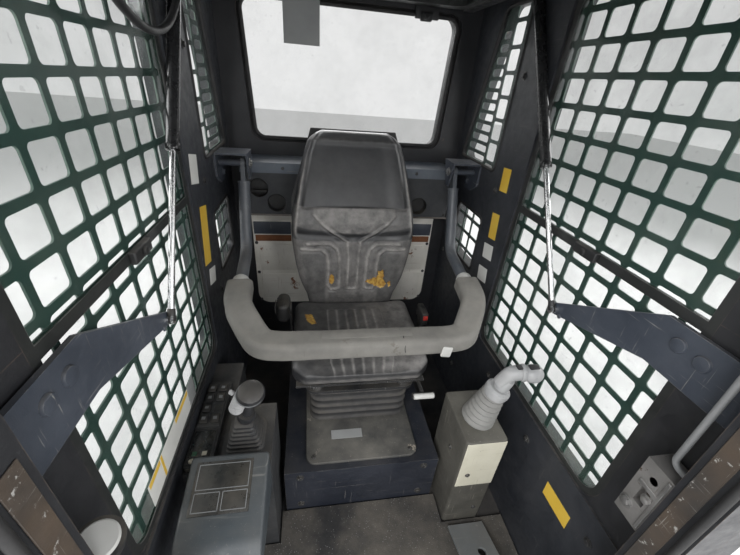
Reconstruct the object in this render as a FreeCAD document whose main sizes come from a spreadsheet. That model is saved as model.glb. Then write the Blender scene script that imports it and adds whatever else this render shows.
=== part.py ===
"""Operator's cab of a skid steer loader, as a parametric document in millimetres.

The operator faces -Y and the door opening is at -Y. +X is the operator's left and +Z is up. The
origin is under the middle of the cab, on the plane that its floor pan stands on.
"""

import FreeCAD, Part
import math
import os
import re

import Sketcher
from FreeCAD import Placement, Rotation, Vector

# Driving dimensions: alias, value, what it is. Lengths are millimetres and angles are degrees.
DIMENSIONS = [
    ("cab_width", 1010, "outside width over the side frames"),
    ("front_face", -690, "front of the cab along Y"),
    ("rear_face", 690, "back of the cab along Y"),
    ("frame_top", 1545, "top of the side frames"),
    ("side_thickness", 45, "thickness of a side frame"),
    ("liner_thickness", 5, "thickness of the inner side panel"),
    ("front_thickness", 60, "thickness of the front frame"),
    ("rear_thickness", 100, "thickness of the rear frame"),
    ("roof_thickness", 55, "depth of the roof shell"),
    ("roof_sheet", 8, "thickness of the roof sheet"),
    ("roof_rim", 25, "width of the roof's rim"),
    ("headliner_thickness", 12, "thickness of the headliner"),
    ("floor_top", 50, "top of the floor pan"),
    ("floor_sheet", 6, "thickness of the floor pan's sheet"),
    ("floor_skirt", 24, "width of the floor pan's skirt"),
    ("mat_thickness", 10, "thickness of the floor mat"),
    ("mat_gap", 5, "gap round the floor mat"),
    ("mat_front", -588, "front edge of the floor mat"),
    ("door_post", 105, "width of a front post with its side frame"),
    ("door_sill", 100, "bottom of the door opening"),
    ("door_head_drop", 69, "top of the door opening under the side frames' top"),
    ("door_corner", 70, "corner radius of the door opening"),
    ("window_front", -522, "front edge of the side window"),
    ("window_rear_low", 80, "lower rear corner of the side window"),
    ("window_rear_high", 70, "upper rear corner of the side window"),
    ("window_sill", 468, "bottom of the side window"),
    ("window_drop", 60, "top of the side window under the side frames' top"),
    ("window_corner", 55, "corner radius of the side window"),
    ("window_rim", 16, "width of the side window's frame"),
    ("window_rim_depth", 8, "depth of the side window's frame"),
    ("window_inset", 1, "window frame behind the inner face of the side frame"),
    ("rail_bottom", 950, "underside of the window's middle rail"),
    ("rail_height", 20, "height of the window's middle rail"),
    ("glass_thickness", 4, "thickness of the side and quarter glass"),
    ("glass_setback", 2, "glass behind the inner face of its frame"),
    ("quarter_front", 250, "front edge of the quarter windows"),
    ("quarter_rear_low", 548, "lower rear corner of the upper quarter window"),
    ("quarter_rear_high", 416, "upper rear corner of the upper quarter window"),
    ("quarter_sill", 1018, "bottom of the upper quarter window"),
    ("quarter_drop", 58, "top of the upper quarter window under the side frames' top"),
    ("lower_quarter_rear", 478, "rear edge of the lower quarter window"),
    ("lower_quarter_sill", 642, "bottom of the lower quarter window"),
    ("lower_quarter_head", 858, "top of the lower quarter window"),
    ("quarter_corner", 26, "corner radius of the quarter windows"),
    ("liner_front_low", 80, "front edge of the rear post's lining at the window sill"),
    ("liner_front_high", 76, "front edge of the rear post's lining at the roof"),
    ("guard_sheet", 3, "thickness of the window guards"),
    ("guard_inset", 32, "window guards behind the outer face of the side frame"),
    ("guard_first_hole", -532.6, "front edge of the first hole of the side guard"),
    ("guard_first_row", 475, "bottom of the first row of holes of the side guard"),
    ("guard_pitch", 72.3, "hole pitch of the side guard along Y"),
    ("guard_row_pitch", 64.2, "hole pitch of the side guard along Z"),
    ("guard_hole_width", 59.3, "width of a hole in the side guard"),
    ("guard_hole_height", 51.2, "height of a hole in the side guard"),
    ("guard_hole_corner", 8, "corner radius of a guard hole"),
    ("slot_front", 378, "front ends of the upper quarter guard's slots"),
    ("slot_end", 16, "slots' rear ends inside the upper quarter window's rear edge"),
    ("slot_first_row", 1025, "bottom of the lowest slot of the upper quarter guard"),
    ("slot_height", 22, "height of the upper quarter guard's slots"),
    ("slot_pitch", 34.2, "pitch of the upper quarter guard's slots"),
    ("slot_count", 12, "number of the upper quarter guard's slots"),
    ("panel_first_hole", 230, "front edge of the first hole of the upper quarter guard"),
    ("panel_first_row", 973, "bottom of the first row of holes of the upper quarter guard"),
    ("panel_pitch", 73, "hole pitch of the upper quarter guard along Y"),
    ("panel_row_pitch", 68.4, "hole pitch of the upper quarter guard along Z"),
    ("panel_hole_width", 60, "width of a hole in the upper quarter guard"),
    ("panel_hole_height", 57, "height of a hole in the upper quarter guard"),
    ("cell_first_hole", 217.5, "front edge of the first hole of the lower quarter guard"),
    ("cell_first_row", 627.5, "bottom of the first row of holes of the lower quarter guard"),
    ("cell_pitch", 72, "hole pitch of the lower quarter guard along Y"),
    ("cell_row_pitch", 63, "hole pitch of the lower quarter guard along Z"),
    ("cell_width", 61, "width of a hole in the lower quarter guard"),
    ("cell_height", 51, "height of a hole in the lower quarter guard"),
    ("rear_glass_sill", 1027, "bottom of the rear window"),
    ("rear_glass_drop", 67, "top of the rear window under the side frames' top"),
    ("rear_margin_low", 140, "rear window's lower corners inside the cab's sides"),
    ("rear_margin_high", 119, "rear window's upper corners inside the cab's sides"),
    ("rear_corner", 48, "corner radius of the rear window"),
    ("seal_setback", 20, "rear window's middle plane behind the wall's inner face"),
    ("seal_width", 16, "width of the rear window's seal"),
    ("seal_depth", 24, "depth of the rear window's seal"),
    ("rear_glass_thickness", 6, "thickness of the rear glass"),
    ("duct_margin", 105, "ends of the duct box inside the cab's sides"),
    ("duct_front", 461, "front face of the duct box"),
    ("duct_bottom", 777, "underside of the duct box"),
    ("duct_top", 940, "top of the duct box"),
    ("duct_cap_height", 36, "height of the duct box's cap"),
    ("duct_cap_overhang", 8, "cap in front of the duct box"),
    ("vent_radius", 35, "radius of the round air outlets"),
    ("vent_depth", 30, "depth of the round air outlets"),
    ("vent_recess", 4, "air outlets behind the duct box's face"),
    ("vent_play", 0.5, "clearance round the air outlets"),
    ("cover_margin", 110, "rear cover's edges inside the cab's sides"),
    ("cover_bottom", 300, "bottom of the rear cover"),
    ("cover_thickness", 12, "thickness of the rear cover"),
    ("riser_half_width", 235, "half width of the seat riser"),
    ("riser_front", -243, "front of the seat riser"),
    ("riser_rear", 380, "back of the seat riser"),
    ("riser_top", 247, "top of the seat riser"),
    ("riser_sheet", 6, "sheet thickness of the seat riser"),
    ("tray_half_width", 173, "half width of the suspension plates"),
    ("tray_front", -226, "front of the suspension's lower plate"),
    ("tray_rear", 262, "back of the suspension's lower plate"),
    ("tray_thickness", 10, "thickness of the suspension plates"),
    ("tray_corner", 34, "corner radius of the suspension plates"),
    ("bellows_inset", 12, "bellows inside the upper plate's edge"),
    ("bellows_height", 150, "height of the suspension bellows"),
    ("top_plate_front", -98, "front of the suspension's upper plate"),
    ("slide_centre", 138, "seat slide's distance from the middle"),
    ("slide_width", 24, "width of a slide rail"),
    ("slide_height", 16, "height of a slide rail"),
    ("slide_clearance", 0.4, "clearance of the seat runners on their rails"),
    ("runner_wall", 7, "wall of a seat runner"),
    ("pan_half_width", 200, "half width of the seat pan"),
    ("pan_thickness", 7, "thickness of the seat pan"),
    ("cushion_half_width", 213, "half width of the seat cushion"),
    ("cushion_front", -105, "front of the seat cushion"),
    ("cushion_rear", 262, "back of the seat cushion"),
    ("cushion_height", 84, "height of the seat cushion"),
    ("cushion_roll", 46, "radius of the cushion's front roll"),
    ("back_gap", 3, "gap between the cushion and the backrest"),
    ("back_foot_half", 158, "half width of the backrest at its foot"),
    ("back_half_width", 219, "half width of the backrest at its widest"),
    ("back_top_half", 150, "half width of the backrest at its top"),
    ("back_foot", 468, "bottom of the backrest"),
    ("back_wide_height", 815, "height of the backrest's widest place"),
    ("back_top", 1100, "top of the backrest"),
    ("back_lean", 110, "lean of the backrest's top towards the back"),
    ("back_depth", 84, "thickness of the backrest"),
    ("shell_thickness", 9, "thickness of the backrest's rear shell"),
    ("retractor_depth", 96, "length of the belt retractor along Y"),
    ("retractor_width", 44, "width of the belt retractor"),
    ("retractor_bottom", 512, "bottom of the belt retractor"),
    ("retractor_height", 76, "height of the belt retractor"),
    ("retractor_front", 118, "front of the belt retractor"),
    ("belt_gap", 6, "belt fittings beside the cushion"),
    ("stalk_thickness", 6, "thickness of the belt fittings' stalks"),
    ("buckle_width", 26, "width of the belt buckle"),
    ("buckle_length", 84, "length of the belt buckle"),
    ("buckle_bottom", 520, "bottom of the belt buckle"),
    ("buckle_front", 72, "front of the belt buckle"),
    ("lever_x", 182, "seat lever's distance from the middle"),
    ("lever_front", -152, "front of the seat lever"),
    ("lever_radius", 6, "radius of the seat lever's rod"),
    ("lever_grip", 34, "half length of the seat lever's cross grip"),
    ("pivot_y", 392, "lap bar pivot along Y"),
    ("pivot_z", 985, "lap bar pivot along Z"),
    ("pivot_radius", 10, "radius of the lap bar's pivot pins"),
    ("pivot_clearance", 0.08, "radial clearance of the lap bar on its pins"),
    ("lug_radius", 18, "radius of the lap bar's lugs round their pins"),
    ("lug_width", 14, "thickness of the lap bar's lugs"),
    ("lug_length", 60, "lap bar's tube ends away from their pins"),
    ("lug_root", 20, "length of the lugs inside the tube"),
    ("tube_cap", 5, "thickness of the caps on the lap bar's ends"),
    ("bar_margin", 132, "lap bar's side tubes inside the cab's sides"),
    ("bar_radius", 19, "radius of the lap bar's tube"),
    ("bar_bend_y", 292, "lap bar's rear bend along Y"),
    ("bar_bend_z", 710, "lap bar's rear bend along Z"),
    ("bar_arm_y", 12, "lap bar's front bend along Y"),
    ("bar_arm_z", 668, "lap bar's front bend along Z"),
    ("bar_front_y", -116, "lap bar's front tube along Y"),
    ("bar_front_z", 620, "lap bar's front tube along Z"),
    ("bar_taper", 91, "ends of the lap bar's front tube inside its side tubes"),
    ("bar_bend_radius", 70, "bend radius of the lap bar"),
    ("pad_radius", 37, "radius of the lap bar's pad"),
    ("pad_clearance", 0.3, "pad's clearance on the tube"),
    ("pad_start_y", 96, "rear end of the lap bar's pad along Y"),
    ("bracket_front", 352, "front of the pivot brackets"),
    ("bracket_rear", 446, "back of the pivot brackets"),
    ("bracket_bottom", 918, "bottom of the pivot brackets' outer wall"),
    ("bracket_top", 1022, "top of the pivot brackets"),
    ("bracket_sheet", 6, "sheet thickness of the pivot brackets"),
    ("bracket_reach", 21, "pivot brackets' inner cheeks inside the lap bar's tubes"),
    ("cheek_drop", 50, "lower end of the inner cheeks below their pins"),
    ("cheek_tip", 12, "half width of the inner cheeks' lower ends"),
    ("strut_offset", 48, "gas struts beside the stowed door"),
    ("strut_low_y", -222, "lower end of the gas struts along Y"),
    ("strut_low_z", 796, "lower end of the gas struts along Z"),
    ("strut_high_y", 232, "upper end of the gas struts along Y"),
    ("strut_rod_length", 362, "bare length of the struts' rods"),
    ("strut_rod_radius", 6.5, "radius of the struts' rods"),
    ("strut_cylinder_radius", 13.5, "radius of the struts' cylinders"),
    ("strut_stud_radius", 5, "radius of the struts' end studs"),
    ("strut_neck_length", 20, "bare neck below the struts' upper eyes"),
    ("strut_eye_width", 14, "width of the struts' end eyes"),
    ("plate_thickness", 8, "thickness of the strut brackets"),
    ("plate_tip_z", 810, "top of the strut bracket at its tip"),
    ("plate_root_height", 98, "height of the strut bracket at the front frame"),
    ("plate_gap", 107, "strut bracket above the door latch's case"),
    ("plate_knee", -462, "strut bracket's knee along Y"),
    ("door_drop", 59, "underside of the stowed door under the side frames' top"),
    ("door_depth", 32, "thickness of the stowed door's frame"),
    ("door_play", 8, "the door's edge inside its opening"),
    ("door_leaf_front", -560, "front end of the stowed door"),
    ("door_leaf_rear", 560, "rear end of the stowed door"),
    ("door_rim", 46, "width of the stowed door's rim"),
    ("door_glass_thickness", 6, "thickness of the door's glass"),
    ("track_gap", 5, "gap between the door and its tracks"),
    ("track_height", 26, "height of the door's tracks"),
    ("track_flange", 24, "width of the tracks' flange under the door"),
    ("track_sheet", 4, "sheet thickness of the door's tracks"),
    ("console_gap", 39, "gap between the seat cushion and the consoles"),
    ("console_margin", 133, "outer face of the control boxes inside the cab's sides"),
    ("console_top", 442, "top of both consoles"),
    ("console_front", -330, "front of the control boxes"),
    ("console_rear", -150, "back of the control boxes"),
    ("console_wall", 6, "wall of the consoles"),
    ("side_console_front", -326, "front of the right side console"),
    ("side_console_rear", 40, "back of the right side console"),
    ("switch_front", -322, "front of the switch panel"),
    ("switch_rear", -55, "back of the switch panel"),
    ("switch_width", 66, "width of the switch panel"),
    ("switch_height", 24, "height of the switch panel"),
    ("pod_front", -528, "front of the monitor pod"),
    ("pod_height", 86, "height of the monitor pod at its front"),
    ("pod_low", 52, "height of the monitor pod at its back"),
    ("pod_margin", 85, "outer face of the monitor pod inside the cab's side"),
    ("boot_inset", 54, "control levers inside the control boxes' outer face"),
    ("boot_y", -250, "control levers along Y"),
    ("boot_radius", 46, "radius of the control boots at their foot"),
    ("boot_top_radius", 20, "radius of the control boots at their top"),
    ("boot_height", 66, "height of the control boots"),
    ("grip_radius", 21, "radius of the control grips"),
    ("grip_length", 118, "length of the control grips"),
    ("stem_radius", 8, "radius of the control levers' stems"),
    ("stem_length", 28, "bare length of the control levers' stems"),
    ("pedal_inset", 110, "foot pedal's inner edge inside the control boxes' outer face"),
    ("pedal_width", 112, "width of the foot pedal"),
    ("pedal_front", -500, "front of the foot pedal"),
    ("pedal_rear", -352, "back of the foot pedal"),
    ("pedal_rise", 44, "height of the foot pedal's front over its back"),
    ("pedal_thickness", 10, "thickness of the foot pedal's plate"),
    ("pedal_hole", 12, "radius of the hole in the foot pedal"),
    ("latch_height", 605, "height of the door latch"),
    ("latch_length", 140, "height of the door latch's case"),
    ("latch_width", 46, "width of the door latch's case"),
    ("latch_depth", 52, "depth of the door latch's case"),
    ("grab_radius", 5, "radius of the grab handle"),
    ("grab_gap", 12, "grab handle above the door latch's case"),
    ("grab_length", 322, "length of the grab handle"),
    ("grab_reach", 30, "reach of the grab handle from the front frame"),
    ("hose_radius", 7, "radius of the door's washer hose"),
    ("pivot_bore", 16, "radius of the cab's rear pivot bores"),
    ("pivot_bore_y", 640, "cab's rear pivot bores along Y"),
    ("pivot_bore_z", 70, "cab's rear pivot bores along Z"),
    ("hold_down_bore", 9, "radius of the hold-down holes in the floor pan"),
    ("hold_down_margin", 75, "hold-down holes inside the cab's sides"),
    ("hold_down_y", -612, "hold-down holes along Y"),
]

# Sizes that follow another one: name, share, the size that it follows, sign, the distance off it.
FOLLOWERS = [
    ("door_head", 1, "frame_top", -1, "door_head_drop"),
    ("window_head", 1, "frame_top", -1, "window_drop"),
    ("quarter_head", 1, "frame_top", -1, "quarter_drop"),
    ("rear_glass_head", 1, "frame_top", -1, "rear_glass_drop"),
    ("door_bottom", 1, "frame_top", -1, "door_drop"),
    ("door_half_width", 0.5, "cab_width", -1, "door_post"),
    ("door_leaf_half", 1, "door_half_width", -1, "door_play"),
    ("strut_low_x", 1, "door_leaf_half", 1, "strut_offset"),
    ("rear_half_low", 0.5, "cab_width", -1, "rear_margin_low"),
    ("rear_half_high", 0.5, "cab_width", -1, "rear_margin_high"),
    ("duct_half_width", 0.5, "cab_width", -1, "duct_margin"),
    ("cover_half_width", 0.5, "cab_width", -1, "cover_margin"),
    ("bar_half_width", 0.5, "cab_width", -1, "bar_margin"),
    ("bar_front_half", 1, "bar_half_width", -1, "bar_taper"),
    ("console_inner", 1, "cushion_half_width", 1, "console_gap"),
    ("console_outer", 0.5, "cab_width", -1, "console_margin"),
    ("pod_outer", 0.5, "cab_width", -1, "pod_margin"),
    ("boot_x", 1, "console_outer", -1, "boot_inset"),
    ("pedal_inner", 1, "console_outer", -1, "pedal_inset"),
    ("latch_top", 1, "latch_height", 1, "latch_length"),
    ("grab_bottom", 1, "latch_top", 1, "grab_gap"),
    ("grab_top", 1, "grab_bottom", 1, "grab_length"),
    ("plate_root_bottom", 1, "latch_top", 1, "plate_gap"),
    ("plate_root_top", 1, "plate_root_bottom", 1, "plate_root_height"),
    ("hold_down_x", 0.5, "cab_width", -1, "hold_down_margin"),
]

SIDES = (("left", 1), ("right", -1))

doc = FreeCAD.newDocument("loader_cab")
sheet = doc.addObject("Spreadsheet::Sheet", "Dims")
for row, (alias, value, note) in enumerate(DIMENSIONS, start=1):
    sheet.set("A%d" % row, note)
    sheet.set("B%d" % row, str(value))
    sheet.setAlias("B%d" % row, alias)
doc.recompute()

ALIASES = re.compile(r"\b(%s)\b" % "|".join(name for name, _, _ in DIMENSIONS))
NAMED = re.compile(r"\b(%s)\b" % "|".join(row[0] for row in FOLLOWERS))
RULES = {row[0]: row[1:] for row in FOLLOWERS}
PARTS = []


def size(alias):
    """A dimension of the sheet, or one that follows it, as a number."""
    if alias in RULES:
        share, followed, sign, distance = RULES[alias]
        return share * size(followed) + sign * size(distance)
    return float(sheet.get(alias))


def spelled_out(found):
    """The formula of a size that follows another one."""
    share, followed, sign, distance = RULES[found.group(1)]
    return "(%s * %s + %d * %s)" % (share, followed, sign, distance)


def bind(item, prop, formula):
    """Bind a property to a formula of the sheet's aliases."""
    while NAMED.search(formula):
        formula = NAMED.sub(spelled_out, formula)
    item.setExpression(prop, ALIASES.sub(r"Dims.\1", formula))


def keep(item, label):
    """Register an object of the document as a finished sub-part."""
    item.Label = label
    PARTS.append(item)
    return item


# Primitives and booleans

def block(name, x, y, z):
    """A box between two formulas along each axis."""
    item = doc.addObject("Part::Box", name)
    for prop, axis, (low, high) in (("Length", "x", x), ("Width", "y", y), ("Height", "z", z)):
        bind(item, "Placement.Base." + axis, low)
        bind(item, prop, "(%s) - (%s)" % (high, low))
    return item


TURNS = {
    "x": Rotation(Vector(0, 1, 0), 90),
    "y": Rotation(Vector(1, 0, 0), -90),
    "z": Rotation(),
}


def rod(name, axis, start, length, radius):
    """A cylinder along an axis from a start point of three formulas."""
    item = doc.addObject("Part::Cylinder", name)
    item.Placement = Placement(Vector(), TURNS[axis])
    for letter, formula in zip("xyz", start):
        bind(item, "Placement.Base." + letter, formula)
    bind(item, "Height", length)
    bind(item, "Radius", radius)
    return item


def fuse(name, items):
    """One solid from several."""
    item = doc.addObject("Part::MultiFuse", name)
    item.Shapes = items
    item.Refine = True
    return item


def cut(name, base, tools):
    """A base with one or more tools cut away."""
    item = doc.addObject("Part::Cut", name)
    item.Base = base
    item.Tool = tools[0] if len(tools) == 1 else fuse(name + "_tools", tools)
    item.Refine = True
    return item


def group(name, items):
    """Separate solids that share one sub-part."""
    item = doc.addObject("Part::Compound", name)
    item.Links = items
    return item


# Sketched bodies

ROLES = {"xy": "XY_Plane", "yz": "YZ_Plane", "xz": "XZ_Plane"}


def sketch_on(body, plane, name, offset):
    """A sketch on one of the body's own planes, moved along the plane's normal by a formula."""
    sketch = body.newObject("Sketcher::SketchObject", name)
    origin = [f for f in body.Origin.OriginFeatures if f.Role == ROLES[plane]][0]
    sketch.AttachmentSupport = [(origin, "")]
    sketch.MapMode = "FlatFace"
    bind(sketch, "AttachmentOffset.Base.z", offset)
    return sketch


def loop(sketch, corners):
    """Draw a closed outline whose corners are pairs of formulas, and return its first edge."""
    first = sketch.GeometryCount
    count = len(corners)
    ring = [Vector(math.cos(2 * math.pi * i / count), math.sin(2 * math.pi * i / count), 0) * 50
            for i in range(count)]
    for i in range(count):
        sketch.addGeometry(Part.LineSegment(ring[i], ring[(i + 1) % count]), False)
    for i in range(count):
        after = first + (i + 1) % count
        sketch.addConstraint(Sketcher.Constraint("Coincident", first + i, 2, after, 1))
    for i, (across, up) in enumerate(corners):
        for kind, formula in (("DistanceX", across), ("DistanceY", up)):
            where = ring[i].x if kind == "DistanceX" else ring[i].y
            number = sketch.addConstraint(Sketcher.Constraint(kind, -1, 1, first + i, 1, where))
            bind(sketch, "Constraints[%d]" % number, formula)
    return first


def corner_edges(shape, sketch, indices):
    """Names of the edges that the outline's corners leave, along the sketch's normal."""
    normal = sketch.Placement.Rotation.multVec(Vector(0, 0, 1))
    spots = [sketch.Placement.multVec(sketch.Geometry[i].StartPoint) for i in indices]
    names = []
    for number, edge in enumerate(shape.Edges, start=1):
        if len(edge.Vertexes) != 2:
            continue
        start, end = (v.Point for v in edge.Vertexes)
        run = end - start
        if run.Length < 1e-6 or run.cross(normal).Length > 1e-6 * run.Length:
            continue
        for spot in spots:
            if (start - spot).cross(normal).Length < 1e-4:
                names.append("Edge%d" % number)
                break
    return names


def rounded(body, feature, sketch, rounds):
    """Round corners of the outline: rounds pairs lists of edge numbers with a radius formula."""
    for step, (indices, radius) in enumerate(rounds):
        doc.recompute()
        fillet = body.newObject("PartDesign::Fillet", "%s_round%d" % (body.Name, step))
        fillet.Base = (feature, corner_edges(feature.Shape, sketch, indices))
        bind(fillet, "Radius", radius)
        feature = fillet
    body.Tip = feature
    return feature


def plate(name, plane, start, thickness, outline, holes=(), rounds=(), hole_rounds=()):
    """A flat piece with openings: outline and holes are lists of corner formulas.

    rounds holds (corner numbers, radius formula) for the outline, and hole_rounds holds
    (hole number, corner numbers, radius formula).
    """
    body = doc.addObject("PartDesign::Body", name)
    sketch = sketch_on(body, plane, name + "_outline", start if plane != "xz" else "-(%s)" % start)
    loop(sketch, outline)
    firsts = [loop(sketch, hole) for hole in holes]
    pad = body.newObject("PartDesign::Pad", name + "_pad")
    pad.Profile = sketch
    bind(pad, "Length", thickness)
    pad.Reversed = plane == "xz"
    steps = list(rounds)
    for hole, corners, radius in hole_rounds:
        steps.append(([firsts[hole] + corner for corner in corners], radius))
    if steps:
        rounded(body, pad, sketch, steps)
    return body


def rectangle(left, right, low, high):
    """Corners of a rectangle, anticlockwise from its lower left."""
    return [(left, low), (right, low), (right, high), (left, high)]


def soft_rectangle(sketch, left, right, low, high, radius):
    """Draw a rectangle with rounded corners between four formulas."""
    first = sketch.GeometryCount
    wide, tall, bend = 100, 60, 10
    sides = [((bend, 0), (wide - bend, 0)), ((wide, bend), (wide, tall - bend)),
             ((wide - bend, tall), (bend, tall)), ((0, tall - bend), (0, bend))]
    for start, end in sides:
        sketch.addGeometry(Part.LineSegment(Vector(*start, 0), Vector(*end, 0)), False)
    middles = [(wide - bend, bend), (wide - bend, tall - bend), (bend, tall - bend), (bend, bend)]
    for turn, middle in enumerate(middles):
        circle = Part.Circle(Vector(*middle, 0), Vector(0, 0, 1), bend)
        start = (turn - 1) * math.pi / 2
        sketch.addGeometry(Part.ArcOfCircle(circle, start, start + math.pi / 2), False)
    for turn in range(4):
        arc = first + 4 + turn
        sketch.addConstraint(Sketcher.Constraint("Tangent", first + turn, 2, arc, 1))
        sketch.addConstraint(Sketcher.Constraint("Tangent", arc, 2, first + (turn + 1) % 4, 1))
        level = "Horizontal" if turn % 2 == 0 else "Vertical"
        sketch.addConstraint(Sketcher.Constraint(level, first + turn))
        if turn:
            sketch.addConstraint(Sketcher.Constraint("Equal", first + 4, arc))
    number = sketch.addConstraint(Sketcher.Constraint("Radius", first + 4, bend))
    bind(sketch, "Constraints[%d]" % number, radius)
    for kind, edge, now, formula in (("DistanceY", 0, 0, low), ("DistanceX", 1, wide, right),
                                     ("DistanceY", 2, tall, high), ("DistanceX", 3, 0, left)):
        number = sketch.addConstraint(Sketcher.Constraint(kind, -1, 1, first + edge, 1, now))
        bind(sketch, "Constraints[%d]" % number, formula)
    return first


def punch(body, name, start, corners, radius, columns, rows):
    """Punch one rounded hole through a sheet in a YZ plane and repeat it in columns and rows.

    corners holds the hole's left, right, low and high formulas. columns and rows each hold a
    pitch in millimetres and a count.
    """
    sketch = sketch_on(body, "yz", name, start)
    soft_rectangle(sketch, *corners, radius)
    hole = body.newObject("PartDesign::Pocket", name + "_hole")
    hole.Profile = sketch
    hole.Type = "ThroughAll"
    hole.Midplane = True
    steps = []
    for axis, (pitch, count) in (("H_Axis", columns), ("V_Axis", rows)):
        if count > 1:
            step = body.newObject("PartDesign::LinearPattern", "%s_%s" % (name, axis[0].lower()))
            step.Direction = (sketch, [axis])
            step.Length = pitch * (count - 1)
            step.Occurrences = count
            steps.append(step)
    pattern = body.newObject("PartDesign::MultiTransform", name + "_holes")
    pattern.Originals = [hole]
    pattern.Transformations = steps
    body.Tip = pattern
    return pattern


# Formulas that several sub-parts share

INNER = "(cab_width / 2 - side_thickness)"
LINER = "(cab_width / 2 - side_thickness - liner_thickness)"
FRONT_INSIDE = "(front_face + front_thickness)"
REAR_INSIDE = "(rear_face - rear_thickness)"


def along_x(side, low, high):
    """Start and thickness formulas of a slab between two distances from the middle."""
    start = low if side > 0 else "-(%s)" % high
    return start, "(%s) - (%s)" % (high, low)


def mirrored(side, low, high):
    """A pair of X formulas on the given side."""
    if side > 0:
        return low, high
    return "-(%s)" % high, "-(%s)" % low


SIDE_WINDOW = [("window_front", "window_sill"), ("window_rear_low", "window_sill"),
               ("window_rear_high", "window_head"), ("window_front", "window_head")]
UPPER_QUARTER = [("quarter_front", "quarter_sill"), ("quarter_rear_low", "quarter_sill"),
                 ("quarter_rear_high", "quarter_head"), ("quarter_front", "quarter_head")]
LOWER_QUARTER = rectangle("quarter_front", "lower_quarter_rear",
                          "lower_quarter_sill", "lower_quarter_head")
ALL_FOUR = [0, 1, 2, 3]


def copies(low, high, pitch):
    """How many holes at a pitch it takes to run past a place."""
    return math.ceil((size(high) - size(low)) / size(pitch))


# Shell of the cab

def floor_pan():
    """The floor's sheet with its skirt, open below, with hold-down holes at the front."""
    whole = block("pan_block", ("-" + INNER, INNER), ("front_face", "rear_face"), ("0", "floor_top"))
    hollow = block("pan_hollow", ("-(%s - floor_skirt)" % INNER, "%s - floor_skirt" % INNER),
                   ("front_face + 4 * floor_skirt", "rear_face - floor_skirt"),
                   ("-1", "floor_top - floor_sheet"))
    bores = [rod("hold_down_%s" % name, "z", ("%d * hold_down_x" % side, "hold_down_y", "-1"),
                 "floor_top + 2", "hold_down_bore") for name, side in SIDES]
    keep(cut("floor_pan", whole, [hollow] + bores), "floor_pan")


def floor_mat():
    """The rubber mat in the footwell."""
    wide = "(%s - mat_gap)" % LINER
    narrow = "(console_inner - mat_gap)"
    step, back = "console_front - mat_gap", "riser_front - mat_gap"
    outline = [("-" + wide, "mat_front"), (wide, "mat_front"), (wide, step), (narrow, step),
               (narrow, back), ("-" + narrow, back), ("-" + narrow, step), ("-" + wide, step)]
    mat = plate("floor_mat", "xy", "floor_top", "mat_thickness", outline,
                rounds=[([0, 1], "4 * mat_gap")])
    keep(mat, "floor_mat")


def weldment(whole, name, side):
    """The bars that a side is welded from: two round the side window, a rear post and three rails."""
    x = mirrored(side, INNER, "cab_width / 2")
    front = ("front_face", "quarter_front")
    middle = ("quarter_front", "quarter_rear_low")
    rear = ("quarter_rear_low", "rear_face")
    waist = "(window_sill + window_head) / 2"
    low_waist = "(lower_quarter_sill + lower_quarter_head) / 2"
    high_waist = "(quarter_sill + quarter_head) / 2"
    bars = []
    for bar, y, z in (("lower_frame", front, ("0", waist)), ("upper_frame", front, (waist, "frame_top")),
                      ("rear_post", rear, ("0", "frame_top")), ("low_rail", middle, ("0", low_waist)),
                      ("middle_rail", middle, (low_waist, high_waist)),
                      ("high_rail", middle, (high_waist, "frame_top"))):
        item = doc.addObject("Part::Common", "%s_%s" % (bar, name))
        item.Base = whole
        item.Tool = block("%s_%s_room" % (bar, name), x, y, z)
        bars.append(item)
    return bars


def side_frame(name, side):
    """The structural side with its window and two quarter windows cut, and a rear pivot bore."""
    start, thick = along_x(side, INNER, "cab_width / 2")
    body = plate("side_blank_" + name, "yz", start, thick,
                 rectangle("front_face", "rear_face", "0", "frame_top"),
                 holes=[SIDE_WINDOW, UPPER_QUARTER, LOWER_QUARTER],
                 hole_rounds=[(0, ALL_FOUR, "window_corner"), (1, ALL_FOUR, "quarter_corner"),
                              (2, ALL_FOUR, "quarter_corner")])
    doc.recompute()
    sketch = sketch_on(body, "yz", "pivot_%s_circle" % name, start)
    circle = Part.Circle(Vector(100, 100, 0), Vector(0, 0, 1), 10)
    sketch.addGeometry(circle, False)
    for kind, formula, value in (("DistanceX", "pivot_bore_y", 100), ("DistanceY", "pivot_bore_z", 100)):
        number = sketch.addConstraint(Sketcher.Constraint(kind, -1, 1, 0, 3, value))
        bind(sketch, "Constraints[%d]" % number, formula)
    number = sketch.addConstraint(Sketcher.Constraint("Radius", 0, 10))
    bind(sketch, "Constraints[%d]" % number, "pivot_bore")
    bore = body.newObject("PartDesign::Pocket", "pivot_%s_bore" % name)
    bore.Profile = sketch
    bore.Type = "ThroughAll"
    bore.Midplane = True
    body.Tip = bore
    doc.recompute()
    keep(group("side_frame_%s_weldment" % name, weldment(body, name, side)), "side_frame_" + name)


def liner(name, side):
    """The inner side panel: low under the side window, and full height round the quarter windows."""
    start, thick = along_x(side, LINER, INNER)
    outline = [(FRONT_INSIDE, "floor_top"), (REAR_INSIDE, "floor_top"), (REAR_INSIDE, "frame_top"),
               ("liner_front_high", "frame_top"), ("liner_front_low", "window_sill"),
               (FRONT_INSIDE, "window_sill")]
    body = plate("side_liner_" + name, "yz", start, thick, outline,
                 holes=[UPPER_QUARTER, LOWER_QUARTER],
                 rounds=[([4], "window_corner / 2")],
                 hole_rounds=[(0, ALL_FOUR, "quarter_corner"), (1, ALL_FOUR, "quarter_corner")])
    keep(body, "side_liner_" + name)


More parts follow.
